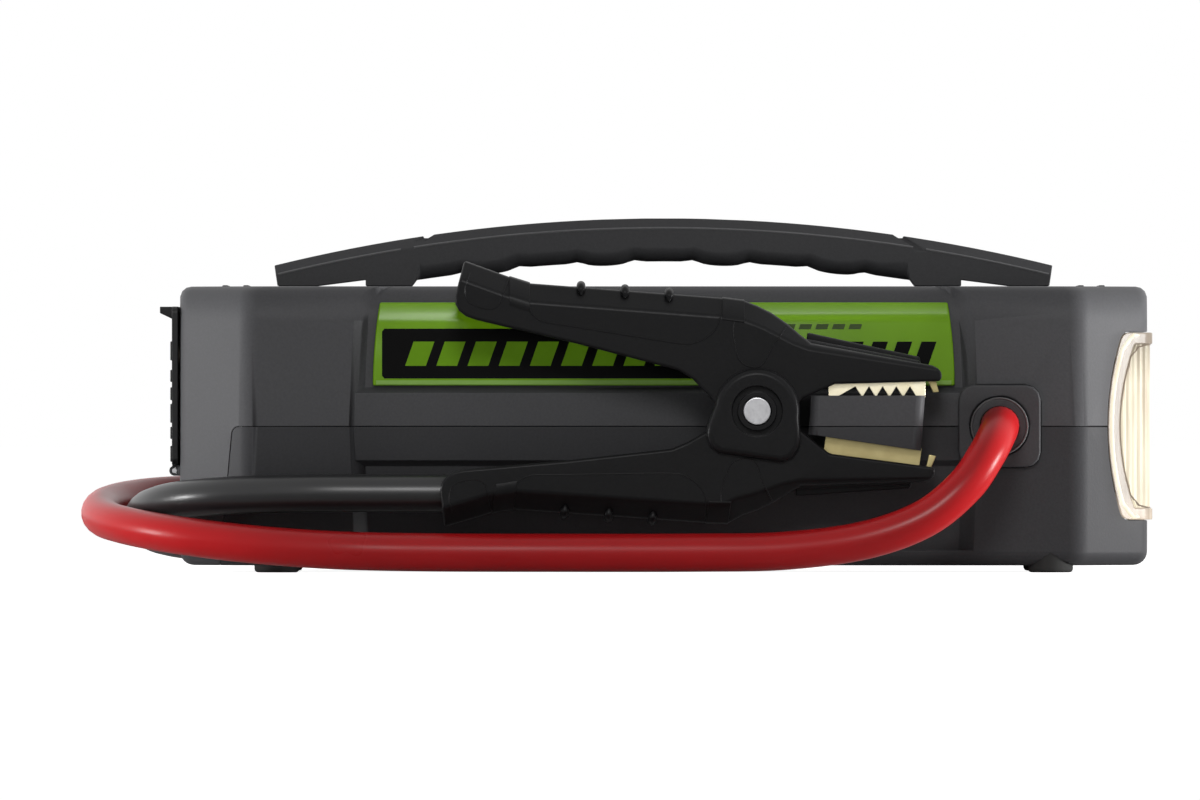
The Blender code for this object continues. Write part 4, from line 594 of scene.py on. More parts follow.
spots = []
end_outline = lens_corner(FRONT, 0) + lens_corner(REAR, 0)[::-1]
for spot, distance, out in walk(end_outline, FLUTE_PITCH / FLUTE_POINTS):
    reach = (spot.x - HOUSING_X) / MM - (LENS_END - LENS_WRAP) - PANE_INSET / MM
    if reach > 0:
        half = (LENS_HEIGHT / 2 - PANE_INSET) * min(1, math.sqrt(reach / LENS_BULGE))
        swell = FLUTE_DEPTH * abs(math.sin(math.pi * distance / FLUTE_PITCH))
        for lift in (-PANE_SUNK, PANE_PROUD + swell):
            place = spot + out * lift
            spots += [(place.x, place.y, PARTING_Z - half), (place.x, place.y, PARTING_Z + half)]
FOUR_SIDES = ((0, 1), (1, 3), (3, 2), (2, 0))  # pairs of corners that bound a side of a four-sided run
FOUR_CORNERS = (0, 1, 3, 2)  # and its corners in order, round an end
last = len(spots) - 4
faces = [(k + a, k + b, k + b + 4, k + a + 4) for k in range(0, last, 4) for a, b in FOUR_SIDES]
faces += [FOUR_CORNERS, tuple(last + k for k in FOUR_CORNERS)]
finished(solid("lamp_lens_flutes", spots, faces), pane_plastic)


def tapered(count, tip, step):
    """The thickness of a bead at each of its points, growing from both tips."""
    return [min(1, tip + step * min(i, count - 1 - i)) for i in range(count)]


for side, name in SIDES:
    rim_path = lens_side(side, RIM_BEAD, RIM_OUT)
    for x in RIM_ENDS:
        for end in (-1, 1):
            level = Vector((0, 0, PARTING_Z + end * (LENS_HEIGHT / 2 - RIM_BEAD)))
            rim_path.insert(0 if end < 0 else len(rim_path), on_corner(side, x, RIM_OUT) + level)
    rim = wire(f"lamp_lens_{name}_rim", rim_path, RIM_BEAD, 4, tapered(len(rim_path), 0.3, 0.25))
    finished(rim, rim_glow_and_highlight).visible_shadow = False
edge_line = wire("lamp_lens_edge", lens_loop(PANE_INSET, EDGE_OUT), EDGE_BEAD, 2)
finished(edge_line, edge_plastic)

# Port cover
# A black polypropylene flap with raised bars closes the ports on the left end. It swings out on a steel pin
# when its lip is pulled.

COVER_EDGE = 0.3 * MM
COVER_EDGE_LEAST = 1 * MM
black_pp = moulded("moulded polypropylene", "#1d1d1e", "#242425", 0.42)
eased("port_cover", COVER_EDGE, black_pp, "port_cover", least=COVER_EDGE_LEAST)

# Turned steel is bright, and its shine varies over tool marks about 1.5 mm apart.
steel = mottled("turned steel", 1.5 * MM, 3.0, "#a4a4a6", "#bcbcbe", 0.32, 1.0, gloss=(0.24, 0.42))


def coated(node, coat):
    """Keeps a CAD piece as it is, with a better coat."""
    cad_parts[node].data.materials.clear()
    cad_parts[node].data.materials.append(coat)


coated("cover_hinge_pin", steel)

# Port panel
# Behind the cover, a black panel holds two push buttons, a USB socket, a charging socket and a status light.
# Each button has a thin coloured ring on its cap.

PANEL_EDGE, USB_EDGE, CHARGE_EDGE, BUTTON_EDGE = 0.3 * MM, 0.15 * MM, 0.25 * MM, 0.3 * MM
RING_RADIUS, RING_BEAD = 4.2 * MM, 0.45 * MM


def hoop(name, middle, turned, radius, bead, steps):
    """A round bead in a ring, with its steps round the ring and round the bead."""
    bpy.ops.mesh.primitive_torus_add(
        major_segments=steps[0], minor_segments=steps[1], major_radius=radius, minor_radius=bead,
        location=middle, rotation=turned,
    )
    piece = bpy.context.object
    piece.name = name
    bpy.ops.object.transform_apply(location=True, rotation=True)
    return piece


eased("port_panel", PANEL_EDGE, black_pp)
eased("usb_socket", USB_EDGE, steel)
eased("charge_socket", CHARGE_EDGE, black_pp)
coated("status_light", pane_plastic)
for node, mark in (("power_button", green_ink), ("lamp_button", grey_ink)):
    eased(node, BUTTON_EDGE, black_pp, node)
    low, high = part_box(node)
    middle = (low + high) / 2
    face = (low.x, middle.y, middle.z)
    ring = hoop(f"{node}_ring", face, (0, math.pi / 2, 0), RING_RADIUS, RING_BEAD, (40, 10))
    finished(ring, mark, node)

# Glands
# Each lead leaves the housing through a square moulded plate, with a moulded grommet that grips the jacket.
# The two brass terminals behind them are bolted to the power module.

GLAND_EDGE, GROMMET_EDGE = 0.9 * MM, 0.4 * MM
# The bead round the grommet's mouth is pale: a painted highlight.
LIP_RADIUS, LIP_BEAD = 12.1 * MM, 0.4 * MM  # a bead round the grommet's mouth


# Brass is yellow and bright, with tarnish in patches of about 6 mm.
def stamped_brass(name, dull, bright):
    return mottled(name, 6 * MM, 4.0, dull, bright, 0.3, 1.0, gloss=(0.22, 0.4))


brass = stamped_brass("stamped brass", "#9c8f62", "#b9ac7e")
# The upper jaws take a much paler copy of the brass, a painted reflection of the bright surround; the lower
# jaws keep the darker one.
reflection_brass = stamped_brass("brass, paled as painted reflection", "#fff0c4", "#fffae4")
gland_abs = moulded("moulded ABS gland", "#3c3c3e", "#434345", 0.45)
for side, name in SIDES:
    eased(f"{name}_gland", GLAND_EDGE, gland_abs, steps=3)
    eased(f"{name}_grommet", GROMMET_EDGE, gland_abs)
    low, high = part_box(f"{name}_grommet")
    lip = low.y if side == FRONT else high.y
    mouth = ((low.x + high.x) / 2, lip, (low.z + high.z) / 2)
    # Pale bead at the grommet's mouth, a painted highlight.
    bead = hoop(f"{name}_grommet_highlight", mouth, (math.pi / 2, 0, 0), LIP_RADIUS, LIP_BEAD, (64, 8))
    finished(bead, highlight_nylon)
coated("red_terminal", brass)
coated("black_terminal", brass)

# Clamps
# Each clamp is two glass-filled nylon levers on a steel pin. The grips are deep channels with a bevelled
# back, raised collars, finger nubs and thin moulded lines, and the lower lever has a cheek on each side.

PIVOT = Vector((HOUSING_X + 40.2 * MM, 96 * MM, 69.9 * MM))  # of the rear clamp
GRIP_ANGLE = math.radians(8.3)  # how far the lower lever stands open
UPPER_HALF, LOWER_HALF = 16 * MM, 16.6 * MM  # half the width of each lever
THROUGH = 30 * MM  # a cut to both sides by this much goes right through a lever

# The upper lever's outline in mm from the pin: along the back of the grip, on to the tip of the nose and
# round it, to the root of the nose, under the pin, and along the inner edge of the grip.
LEVER_GRIP = ((-126.4, 65), (-107, 58), (-98, 55.2), (-16, 49), (-5.4, 47.7))
LEVER_NOSE = ((0.4, 45.4), (6.5, 42.3), (13, 37.8), (18.6, 33), (23.4, 29.4), (76, 19.7))
LEVER_TIP = ((79, 17.9), (80, 15.4), (79.2, 12.9))
SEAT_X, SEAT_Z = 33.6, 11.7
THROAT_X, THROAT_Z = 20, 5.6
EAR_RADIUS = 15
EAR_TURNS = range(-10, -171, -8)  # degrees, under the pin
LEVER_INNER = (
    (-27.5, 13.7), (-34, 17.7), (-77.3, 29), (-121.6, 39.5), (-125.6, 40.9), (-128.6, 43.2), (-130.2, 46.2),
    (-130.4, 49.6),
)
LOWER_BACK = 2  # mm, how much further out the lower lever's back lies
LOWER_INNER = 3.7  # mm, and the inner edge of its grip
LOWER_SEAT = 1.9  # mm, and the root of its nose
LOWER_THROAT = 5.9  # mm, and its throat
LEVER_WALL = 2.6 * MM
LEVER_EDGE = 1.3 * MM
BACK_BEVEL = 8 * MM
NOSE_BEVELS = [bevel * MM for bevel in (7.8, 7.2, 6.2, 4.6, 2.6, 2.6)]  # less from the elbow to the tip
BACK_BEVELS = [BACK_BEVEL] * len(LEVER_GRIP) + NOSE_BEVELS
HOLLOW_BEVELS = [bevel * 0.9 for bevel in BACK_BEVELS[:-2]] + [1 * MM] * 2
HOLLOW_TIP = (74.8, 16.4)  # mm from the pin, where the hollow ends in the nose
HOLLOW_MOUTH = ((74.8, -20), (-128.4, -20), (-128.4, 46.6))  # and its open side
NOSE_ROOT = 21 * MM
NOSE_REACH = 80 * MM
NOSE_NARROWING = 0.78

nylon_black = moulded("glass-filled nylon black", "#131314", "#171718", 0.33, 0.12)
nylon_red = moulded("glass-filled nylon red", "#861414", "#941919", 0.33, 0.2)


def back_line(upper):
    """Along a lever's back, from the end of the grip to the tip of the nose."""
    drop = 0 if upper else LOWER_BACK
    line = [(x, z + drop) for x, z in LEVER_GRIP] + list(LEVER_NOSE)
    line[0] = (line[0][0], line[0][1] + drop)
    return [Vector((x * MM, z * MM)) for x, z in line]


def inner_line(upper):
    """Round the tip of the nose, and back along the inner edge to the end of the grip."""
    seat, throat, inner = (0, 0, 0) if upper else (LOWER_SEAT, LOWER_THROAT, LOWER_INNER)
    line = [*LEVER_TIP, (SEAT_X, SEAT_Z + seat), (THROAT_X, THROAT_Z)]
    if upper:
        turns = [math.radians(degrees) for degrees in EAR_TURNS]
        line += [(EAR_RADIUS * math.cos(a), EAR_RADIUS * math.sin(a)) for a in turns]
    line.append((-THROAT_X, THROAT_Z + throat))
    line += [(x, z + inner) for x, z in LEVER_INNER]
    return [Vector((x * MM, z * MM)) for x, z in line]


def hollow_back(upper):
    """Top of the hollow under a lever's back."""
    line = [spot - Vector((0, LEVER_WALL)) for spot in back_line(upper)]
    line[0] += Vector((LEVER_WALL, -LEVER_WALL))
    line[-1] = Vector([part * MM for part in HOLLOW_TIP])
    return line


def slab(name, outline, half):
    """An upright outline in mm, pushed through from front to back."""
    near, far = ([(x * MM, y, z * MM) for x, z in outline] for y in (-half, half))
    return prism(name, near, far)


def backed_slab(name, back, rest, half, bevels):
    """A slab with both long edges of its back cut off, each spot of the back by its own amount."""
    spots = []
    count = len(back)
    for i, (spot, bevel) in enumerate(zip(back, bevels)):
        if i in (0, count - 1):
            edge = spot + (rest[-1 if i == 0 else 0] - spot).normalized() * bevel
        else:
            before, after = (spot - back[i - 1]).normalized(), (back[i + 1] - spot).normalized()
            way = (before + after).normalized()
            edge = spot + Vector((way.y, -way.x)) * bevel / way.dot(after)
        brow = half - bevel
        spots += [(edge.x, -half, edge.y), (spot.x, -brow, spot.y)]
        spots += [(spot.x, brow, spot.y), (edge.x, half, edge.y)]
    spots += [(spot.x, y, spot.y) for spot in rest for y in (-half, half)]
    first, last, end = 4 * count, 4 * count + 2 * len(rest) - 2, 4 * count - 4
    faces = [(k + i, k + i + 4, k + i + 5, k + i + 1) for k in range(0, end, 4) for i in range(3)]
    faces += [(k, k + 2, k + 3, k + 1) for k in range(first, last, 2)]
    faces += [[*range(k, first, 4), *range(first + (k > 0), last + 2, 2)] for k in (0, 3)]
    faces += [(0, 1, 2, 3, last + 1, last), (end, end + 1, end + 2, end + 3, first + 1, first)]
    return solid(name, spots, faces)


def use_up(target, operation, other):
    """Joins or cuts with another solid, which is used up."""
    step = target.modifiers.new("step", "BOOLEAN")
    step.operation, step.object = operation, other
    only(target)
    bpy.ops.object.modifier_apply(modifier=step.name)
    bpy.data.objects.remove(other)


def round_bar(name, radius, length, middle, turned, corners=48):
    """A round blank, turned to its place."""
    bpy.ops.object.select_all(action="DESELECT")
    bpy.ops.mesh.primitive_cylinder_add(
        vertices=corners, radius=radius, depth=length, location=middle, rotation=turned,
    )
    piece = bpy.context.object
    piece.name = name
    bpy.ops.object.transform_apply(location=True, rotation=True)
    return piece


def wheel(name, radius, y_low, y_high):
    """A round blank about the clamp's pin."""
    return round_bar(name, radius, y_high - y_low, (0, (y_low + y_high) / 2, 0), (math.pi / 2, 0, 0))


def narrow_nose(piece):
    """Draws a lever's sides in towards the tip of its nose."""
    only(piece)
    bpy.ops.object.mode_set(mode="EDIT")
    bpy.ops.mesh.select_all(action="SELECT")
    bpy.ops.mesh.bisect(plane_co=(NOSE_ROOT, 0, 0), plane_no=(1, 0, 0))
    bpy.ops.object.mode_set(mode="OBJECT")
    for corner in piece.data.vertices:
        share = max(0, corner.co.x - NOSE_ROOT) / (NOSE_REACH - NOSE_ROOT)
        corner.co.y *= 1 - (1 - NOSE_NARROWING) * share


def make_lever(name, half, upper):
    """A lever about its pin, with the grip to the left and its back on top."""
    lever = backed_slab(name, back_line(upper), inner_line(upper), half, BACK_BEVELS)
    bevelled(lever, LEVER_EDGE, 3, "ANGLE", angle=30)
    mouth = [Vector((x * MM, z * MM)) for x, z in HOLLOW_MOUTH]
    hollow = backed_slab("hollow", hollow_back(upper), mouth, half - LEVER_WALL, HOLLOW_BEVELS)
    use_up(lever, "DIFFERENCE", hollow)
    narrow_nose(lever)
    return lever


def smooth(points, steps=8):
    """Points on a smooth curve through the ones given."""
    ends = [2 * points[0] - points[1], *points, 2 * points[-1] - points[-2]]
    line = []
    for before, here, there, after in zip(ends, ends[1:], ends[2:], ends[3:]):
        for i in range(steps):
            t = i / steps
            pull = 2 * here + (there - before) * t + (2 * before - 5 * here + 4 * there - after) * t**2
            line.append((pull + (3 * here - before - 3 * there + after) * t**3) / 2)
    return line + [points[-1]]


# Moulded lines on the sides of the upper lever, in mm from the pin.
GRIP_PAD = (
    (-124, 59.6), (-126, 53), (-125.2, 47.8), (-121.2, 45.3), (-115.1, 43.9), (-111.6, 45.6), (-109.9, 49.5),
    (-107, 57),
)
GRIP_PANEL = (
    (-98.4, 54.4), (-98.6, 46.9), (-96.9, 41.7), (-92.5, 38.7), (-83, 37), (-58, 33), (-32.6, 29),
    (-26.5, 29.5), (-20.4, 32.6), (-16.5, 38.2), (-15.2, 48.2),
)
ELBOW_LINE = (
    (-6.5, 46.9), (-10, 38.2), (-10, 30.4), (-7.4, 21.7), (-1.3, 18.7), (3, 20.8), (7.4, 28.7), (12.6, 36.2),
)
ELBOW_FROM = -12  # mm, from here on a line follows the elbow
LINE_BEAD = 0.28 * MM
LINE_CAST = 100 * MM  # from well outside the lever, in to its surface
NUBS = ((-76, 53.5), (-57, 52.1), (-38, 50.7))  # mm from the pin
NUB_RADIUS = 1.9 * MM
NUB_RISE = 0.4  # mm over the back
NUB_OUT, NUB_DOWN = 3.9 * MM, 3.8 * MM  # how far a nub runs on down the bevel
COLLARS = (((-107, 58), (-98, 55.2), 12.5), ((-15, 48.9), (-5.4, 47.7), 9.6))  # mm: two ends and depth
COLLAR_FACES = (0.45, -0.8)  # mm out from the back
COLLAR_EDGE = 0.3 * MM
NOSE_RIBS = ((17, 1.5, 9.2), (21, 3.7, 4.6))  # mm: where a rib starts, its rise and half its width
RIB_ROOT, RIB_CREST = 28, 30.3  # mm, heights at its start: its foot, and its crest without the rise
RIB_LEAN = 0.8  # mm, how far its start leans
RIB_TIP, RIB_END = (70.2, 20.8), (71, 19.6)  # mm from the pin: its crest near the tip, and its end
RIB_FALL = 0.72  # how much of its rise is left there
RIB_EDGE = 0.7 * MM


def arch(top, half, depth, out):
    """Across a lever's bevelled back from one side to the other, as (y, z) pairs."""
    brow = half - BACK_BEVEL
    ease = LEVER_EDGE
    turn = 0.7 * ease
    sides = [  # y, z and the way out in degrees, up one side
        (half, top - depth, 0), (half, top - BACK_BEVEL - ease, 8),
        (half - turn, top - BACK_BEVEL + turn, 38), (brow + turn, top - turn, 52), (brow - ease, top, 82),
    ]
    right = []
    for y, z, lean in sides:
        reach = 0 if lean == 0 else out
        right.append((y + reach * math.cos(math.radians(lean)), z + reach * math.sin(math.radians(lean))))
    return [(-y, z) for y, z in right] + right[::-1]


def lever_lines(lever, drop, inner):
    """Thin beads on both sides of a lever, laid on its surface."""
    surface = BVHTree.FromObject(lever, bpy.context.evaluated_depsgraph_get())
    beads = []
    for line in (GRIP_PAD, GRIP_PANEL, ELBOW_LINE):
        lowered = [(x, z + (drop if x > ELBOW_FROM else (drop + inner) / 2)) for x, z in line]
        path = smooth([Vector((x * MM, 0, z * MM)) for x, z in lowered])
        for side in (FRONT, REAR):
            start, way = Vector((0, side * LINE_CAST, 0)), Vector((0, -side, 0))
            hits = [surface.ray_cast(spot + start, way)[0] for spot in path]
            beads.append(wire("line", [hit for hit in hits if hit], LINE_BEAD, 2))
    return beads


def finger_nubs(half, drop):
    """Rounded nubs across a lever's back, thinner towards their ends."""
    nubs = []
    brow = half - BACK_BEVEL
    across = ((-brow - NUB_OUT, -NUB_DOWN), (-brow, 0), (brow, 0), (brow + NUB_OUT, -NUB_DOWN))
    for x, z in NUBS:
        top = (z + drop + NUB_RISE) * MM
        path = smooth([Vector((x * MM, y, top + fall)) for y, fall in across])
        nubs.append(wire("nub", path, NUB_RADIUS, 4, tapered(len(path), 0.2, 0.2)))
    return nubs


def collars(half, drop):
    """Raised bands over a lever's back."""
    bands = []
    for first, last, depth in COLLARS:
        loops = []
        for out in COLLAR_FACES:
            for x, z in (first, last):
                loops.append([(x * MM, y, h) for y, h in arch((z + drop) * MM, half, depth * MM, out * MM)])
        count = len(loops[0])
        faces = []
        for a, b in FOUR_SIDES:
            near, far = a * count, b * count
            faces += [(near + i, near + i + 1, far + i + 1, far + i) for i in range(count - 1)]
        faces += [tuple(k * count + end for k in FOUR_CORNERS) for end in (0, count - 1)]
        band = solid("collar", [spot for loop in loops for spot in loop], faces)
        bevelled(band, COLLAR_EDGE, 2, "ANGLE", angle=40)
        bands.append(band)
    return bands


def nose_ribs():
    """Two ribs, one on the other, along the top of the nose."""
    ribs = []
    for start, rise, wide in NOSE_RIBS:
        x, z = RIB_TIP
        crest = [(start, RIB_ROOT), (start + RIB_LEAN, RIB_CREST + rise), (x, z + rise * RIB_FALL), RIB_END]
        rib = slab("rib", crest, wide * MM)
        bevelled(rib, RIB_EDGE, 2, "ANGLE", angle=30)
        ribs.append(rib)
    return ribs


def dress_lever(lever, half, upper):
    """Adds the moulded lines, nubs, collars and nose ribs."""
    drop, inner = (0, 0) if upper else (LOWER_BACK, LOWER_INNER)
    extras = lever_lines(lever, drop, inner) + finger_nubs(half, drop) + collars(half, drop) + nose_ribs()
    only(lever)
    for extra in extras:
        extra.select_set(True)
    bpy.ops.object.join()


CHEEK_RADIUS = 18.4  # mm
CHEEK_TURNS = range(0, 181, 6)  # degrees, round its other end
CHEEK_FOOT = (  # mm from the pin, the square end with rounded corners
    (-20.4, 9), (-20.2, 13.5), (-18, 18), (-13.6, 20.4), (13.6, 20.4), (18, 18), (20.2, 13.5), (20.4, 9),
)
CHEEK_MIDDLE, CHEEK_HALF = 18.65 * MM, 2.35 * MM  # its place out from the clamp's middle, half its thickness
CHEEK_FACE = 20.9 * MM  # its outer face lies just past this
CHEEK_ROUND = 3 * MM
HUB_RADIUS, GROOVE_RADIUS = 8.4 * MM, 10.9 * MM
GROOVE_FLOOR, GROOVE_TOP = 17.8 * MM, 25 * MM
GROOVE_EDGE = 0.4 * MM
SPARE = 5 * MM  # a cutter reaches past what it cuts


def make_cheek(side):
    """The lower lever's outer cheek: a rounded plate with a hub inside a ring groove."""
    turns = [math.radians(degrees) for degrees in CHEEK_TURNS]
    outline = [(CHEEK_RADIUS * math.cos(a), -CHEEK_RADIUS * math.sin(a)) for a in turns]
    cheek = slab("cheek", outline + list(CHEEK_FOOT), CHEEK_HALF)
    cheek.data.transform(Matrix.Translation((0, side * CHEEK_MIDDLE, 0)))
    weigh(cheek, lambda edge: all(abs(end.y) > CHEEK_FACE for end in edge_ends(cheek, edge)))
    bevelled(cheek, CHEEK_ROUND, 5)
    near, far = sorted((side * GROOVE_FLOOR, side * GROOVE_TOP))
    ring = wheel("ring", GROOVE_RADIUS, near, far)
    use_up(ring, "DIFFERENCE", wheel("hub", HUB_RADIUS, near - SPARE, far + SPARE))
    use_up(cheek, "DIFFERENCE", ring)
    bevelled(cheek, GROOVE_EDGE, 2, "ANGLE", angle=60)
    return cheek


TURN_OVER = Matrix.Rotation(GRIP_ANGLE, 4, "Y") @ Matrix.Scale(-1, 4, (0, 0, 1))  # makes a lower lever
BORE_RADIUS, PIN_RADIUS = 6.3 * MM, 6 * MM
PIN_HALF = 20.4 * MM
PIN_EDGE = 0.6 * MM
SWEPT = EAR_RADIUS * MM + 1 * MM  # room for the upper lever's ears to turn
ENTRY_RADIUS, ENTRY_LENGTH = 8.55 * MM, 30 * MM  # the hole where the lead goes in
ENTRY_MIDDLE = (-142.2 * MM, 0, -35.5 * MM)
JAW_EDGE = 0.18 * MM
UPPER_TAB = ((73.7, 13.4), (77.2, 13.4), (78.6, 8.2), (76.1, 8))  # mm from the pin, a jaw's folded end
LOWER_TAB = ((74.3, -18.8), (77.4, -19.4), (75.3, -24.4), (73, -24.4))
TAB_HALF = 7.5 * MM
TAB_EDGE = 0.3 * MM
for side, colour, coat in ((FRONT, "black", nylon_black), (REAR, "red", nylon_red)):
    place = Matrix.Translation((PIVOT.x, side * PIVOT.y, PIVOT.z))
    upper = make_lever(f"{colour}_clamp_upper_grip", UPPER_HALF, True)
    use_up(upper, "DIFFERENCE", wheel("bore", BORE_RADIUS, -THROUGH, THROUGH))
    dress_lever(upper, UPPER_HALF, True)
    upper.data.transform(place)
    finished(upper, coat, f"{colour}_clamp_upper", f"{colour}_clamp_upper_lever")

    lower = make_lever(f"{colour}_clamp_lower_grip", LOWER_HALF, False)
    use_up(lower, "DIFFERENCE", wheel("swept", SWEPT, -THROUGH, THROUGH))
    for cheek_side in (FRONT, REAR):
        use_up(lower, "UNION", make_cheek(cheek_side))
    use_up(lower, "DIFFERENCE", wheel("bore", BORE_RADIUS, -THROUGH, THROUGH))
    entry = round_bar("entry", ENTRY_RADIUS, ENTRY_LENGTH, ENTRY_MIDDLE, (0, math.pi / 2, 0), 40)
    entry.data.transform(TURN_OVER.inverted())
    entry.data.flip_normals()
    use_up(lower, "DIFFERENCE", entry)
    dress_lever(lower, LOWER_HALF, False)
    lower.data.transform(TURN_OVER)
    lower.data.flip_normals()
    lower.data.transform(place)
    finished(lower, coat, "pack", f"{colour}_clamp_lower_lever")

    pin = wheel(f"{colour}_clamp_pin", PIN_RADIUS, -PIN_HALF, PIN_HALF)
    bevelled(pin, PIN_EDGE, 2, "ANGLE", angle=30)
    pin.data.transform(place)
    finished(pin, steel, "pack", f"{colour}_clamp_pivot_pin")

    # Upper jaw in the paler brass: painted reflection.
    eased(f"{colour}_clamp_upper_jaw", JAW_EDGE, reflection_brass, f"{colour}_clamp_upper")
    eased(f"{colour}_clamp_lower_jaw", JAW_EDGE, brass)
    for jaw, tab, body in (("upper", UPPER_TAB, f"{colour}_clamp_upper"), ("lower", LOWER_TAB, "pack")):
        fold = slab(f"{colour}_clamp_{jaw}_tab", tab, TAB_HALF)
        bevelled(fold, TAB_EDGE, 2, "ANGLE", angle=30)
        fold.data.transform(place)
        finished(fold, brass, body)

# Clamp springs
# A torsion spring of steel wire is wound round each pin. One leg bears on the lower lever and the other on
# the upper one, so the turns tighten as the grips are squeezed.

COIL_RADIUS = 8.4 * MM
WIRE_RADIUS = 1.15 * MM
COIL_PITCH = 3.25 * MM
COIL_TURNS = 4  # whole turns, beside the part turn between the legs
COIL_POINTS = 32  # in a turn
UPPER_LEG = Vector((-0.713, 0, 0.701))
LOWER_LEG = Vector((-0.745, 0, -0.667))
UPPER_LENGTH, LOWER_LENGTH = 56.6, 55.6  # mm
start = math.atan2(LOWER_LEG.x, -LOWER_LEG.z)
end = math.atan2(-UPPER_LEG.x, UPPER_LEG.z) + COIL_TURNS * 2 * math.pi
turns = (end - start) / (2 * math.pi)
steps = round(COIL_POINTS * turns)
coil = []
for i in range(steps + 1):
    share = i / steps
    a = start + (end - start) * share
    y = COIL_PITCH * turns * (share - 0.5)
    coil.append(Vector((COIL_RADIUS * math.cos(a), y, COIL_RADIUS * math.sin(a))))
coil = [coil[0] + LOWER_LEG * LOWER_LENGTH * MM, *coil, coil[-1] + UPPER_LEG * UPPER_LENGTH * MM]
half_coil = COIL_PITCH * turns / 2
for side, colour in ((FRONT, "black"), (REAR, "red")):
    centre = Vector((PIVOT.x, side * PIVOT.y, PIVOT.z))
    spring = wire(f"{colour}_clamp_torsion_spring", [centre + spot for spot in coil], WIRE_RADIUS, 4)
    bpy.ops.object.shade_smooth()
    spring.data.materials.clear()
    spring.data.materials.append(steel)
    reach = Vector((0, half_coil - WIRE_RADIUS, 0))
    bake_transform(spring)
    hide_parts(f"{colour}_clamp_spring")

# Leads
# Two heavy battery leads have a smooth, glossy PVC jacket. Each leaves its gland, sinks to the floor, runs
# along its own side and round the left end, and goes into the clamp on the other side.

LEAD_RADIUS = 8.25 * MM
LEAD_RUN = (  # mm, from the gland to the left end, with y away from the housing
    (145.3, 75, 63.4), (145.3, 95, 63.4), (143.6, 109, 59.5), (139, 121, 51), (129.5, 129, 37.5),
    (112, 132.6, 23.5), (86, 132.5, 14.2), (52, 128.5, 9.7), (15, 124, 8.9), (-45, 118, 8.8), (-106, 114, 9),
)
RED_LOOP = (
    (-145, -111, 10), (-180, -103, 12.6), (-210, -86, 16.2), (-231, -60, 19.8), (-243, -28, 23.2),
    (-245, 4, 27), (-238.5, 37, 30.2), (-222, 66.5, 32.6), (-196, 86.5, 33.8), (-163, 95, 34.3),
    (-125, 96, 34.4), (-88, 96, 34.4),
)
BLACK_LOOP = (
    (-140, 110, 9.4), (-170, 100, 10.4), (-197, 80, 12), (-216, 54, 14.6), (-224.5, 25, 18.2),
    (-226.6, -5, 22.6), (-223.5, -35, 27.4), (-211.5, -63, 31), (-189, -84.5, 33.3), (-158, -94, 34.3),
    (-125, -96, 34.4), (-88, -96, 34.4),
)


# Extruded PVC is glossy, with faint bands a few centimetres apart where the line drew it, and a fine skin.
def pvc_jacket(name, colour, paler, shine):
    coat = mottled(name, 35 * MM, 2.0, colour, paler, 0.3, shine=shine, gloss=(0.24, 0.36))
    tree = coat.node_tree
    place = add(tree, "ShaderNodeTexCoord").outputs["Object"]
    skin = add(tree, "ShaderNodeTexNoise", {"Vector": place, "Scale": 1 / (1.2 * MM), "Detail": 2.0})
    bump = add(
        tree, "ShaderNodeBump",
        {"Strength": 0.06, "Distance": 0.1 * MM, "Height": skin.outputs["Fac"]},
    )
    tree.links.new(bump.outputs["Normal"], tree.nodes["Principled BSDF"].inputs["Normal"])
    return coat


red_pvc = pvc_jacket("PVC jacket red", "#9f1115", "#aa1519", 0.24)
black_pvc = pvc_jacket("PVC jacket black", "#19191a", "#1f1f20", 0.45)


def lay_lead(name, side, loop, coat, node):
    """A lead along its own side and round the left end, on one smooth curve."""
    route = [(x, side * y, z) for x, y, z in LEAD_RUN] + list(loop)
    spots = [Vector((HOUSING_X + x * MM, y * MM, z * MM)) for x, y, z in route]
    curve = bpy.data.curves.new(name, "CURVE")
    curve.dimensions = "3D"
    curve.resolution_u = 10
    curve.bevel_depth, curve.bevel_resolution, curve.use_fill_caps = LEAD_RADIUS, 8, True
    line = curve.splines.new("BEZIER")
    line.bezier_points.add(len(spots) - 1)
    ends = [2 * spots[0] - spots[1], *spots, 2 * spots[-1] - spots[-2]]
    for knot, before, here, after in zip(line.bezier_points, ends, ends[1:], ends[2:]):
        pull = (after - before) / 6
        knot.co, knot.handle_left, knot.handle_right = here, here - pull, here + pull
    lead = bpy.data.objects.new(name, curve)
    bpy.context.collection.objects.link(lead)
    curve.materials.append(coat)
    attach(lead, "pack")
    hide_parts(node)


lay_lead("red_battery_lead", FRONT, RED_LOOP, red_pvc, "red_lead")
lay_lead("black_battery_lead", REAR, BLACK_LOOP, black_pvc, "black_lead")

# Inside
# The battery, its links, the power module and the boards are closed in by the housing. They keep their plain
# shapes, with the finish of wrapped cells, copper strip, a steel case, coated boards and a plated reflector.

wrap = printed_ink("heat-shrink wrap", "#3a5c8c", "#44689a")
board_green = printed_ink("solder mask", "#1a5631", "#226a3e")
# Copper has a dull bloom in patches of about 8 mm, and plating a mirror's shine with a ripple of about 3 mm.
copper = mottled("copper strip", 8 * MM, 3.0, "#a8622c", "#c98450", 0.35, 1.0)
plated = mottled("vacuum plating", 3 * MM, 2.0, "#d0d0d0", "#e4e4e2", 0.14, 1.0)
for number in range(1, 5):
    coated(f"battery_cell_{number}", wrap)
    coated(f"shell_screw_{number}", steel)
for number in range(1, 4):
    coated(f"cell_link_{number}", copper)
coated("handle_screw_left", steel)
coated("handle_screw_right", steel)
coated("cell_tray", black_pp)
coated("power_module", steel)
coated("control_board", board_green)
coated("led_board", board_green)
coated("lamp_reflector", plated)

# Stage
# A plain white floor and an even white surround, a high soft box in front, a soft box and a weak strip at
# each end, and a long lens level with the housing, as in the photograph.

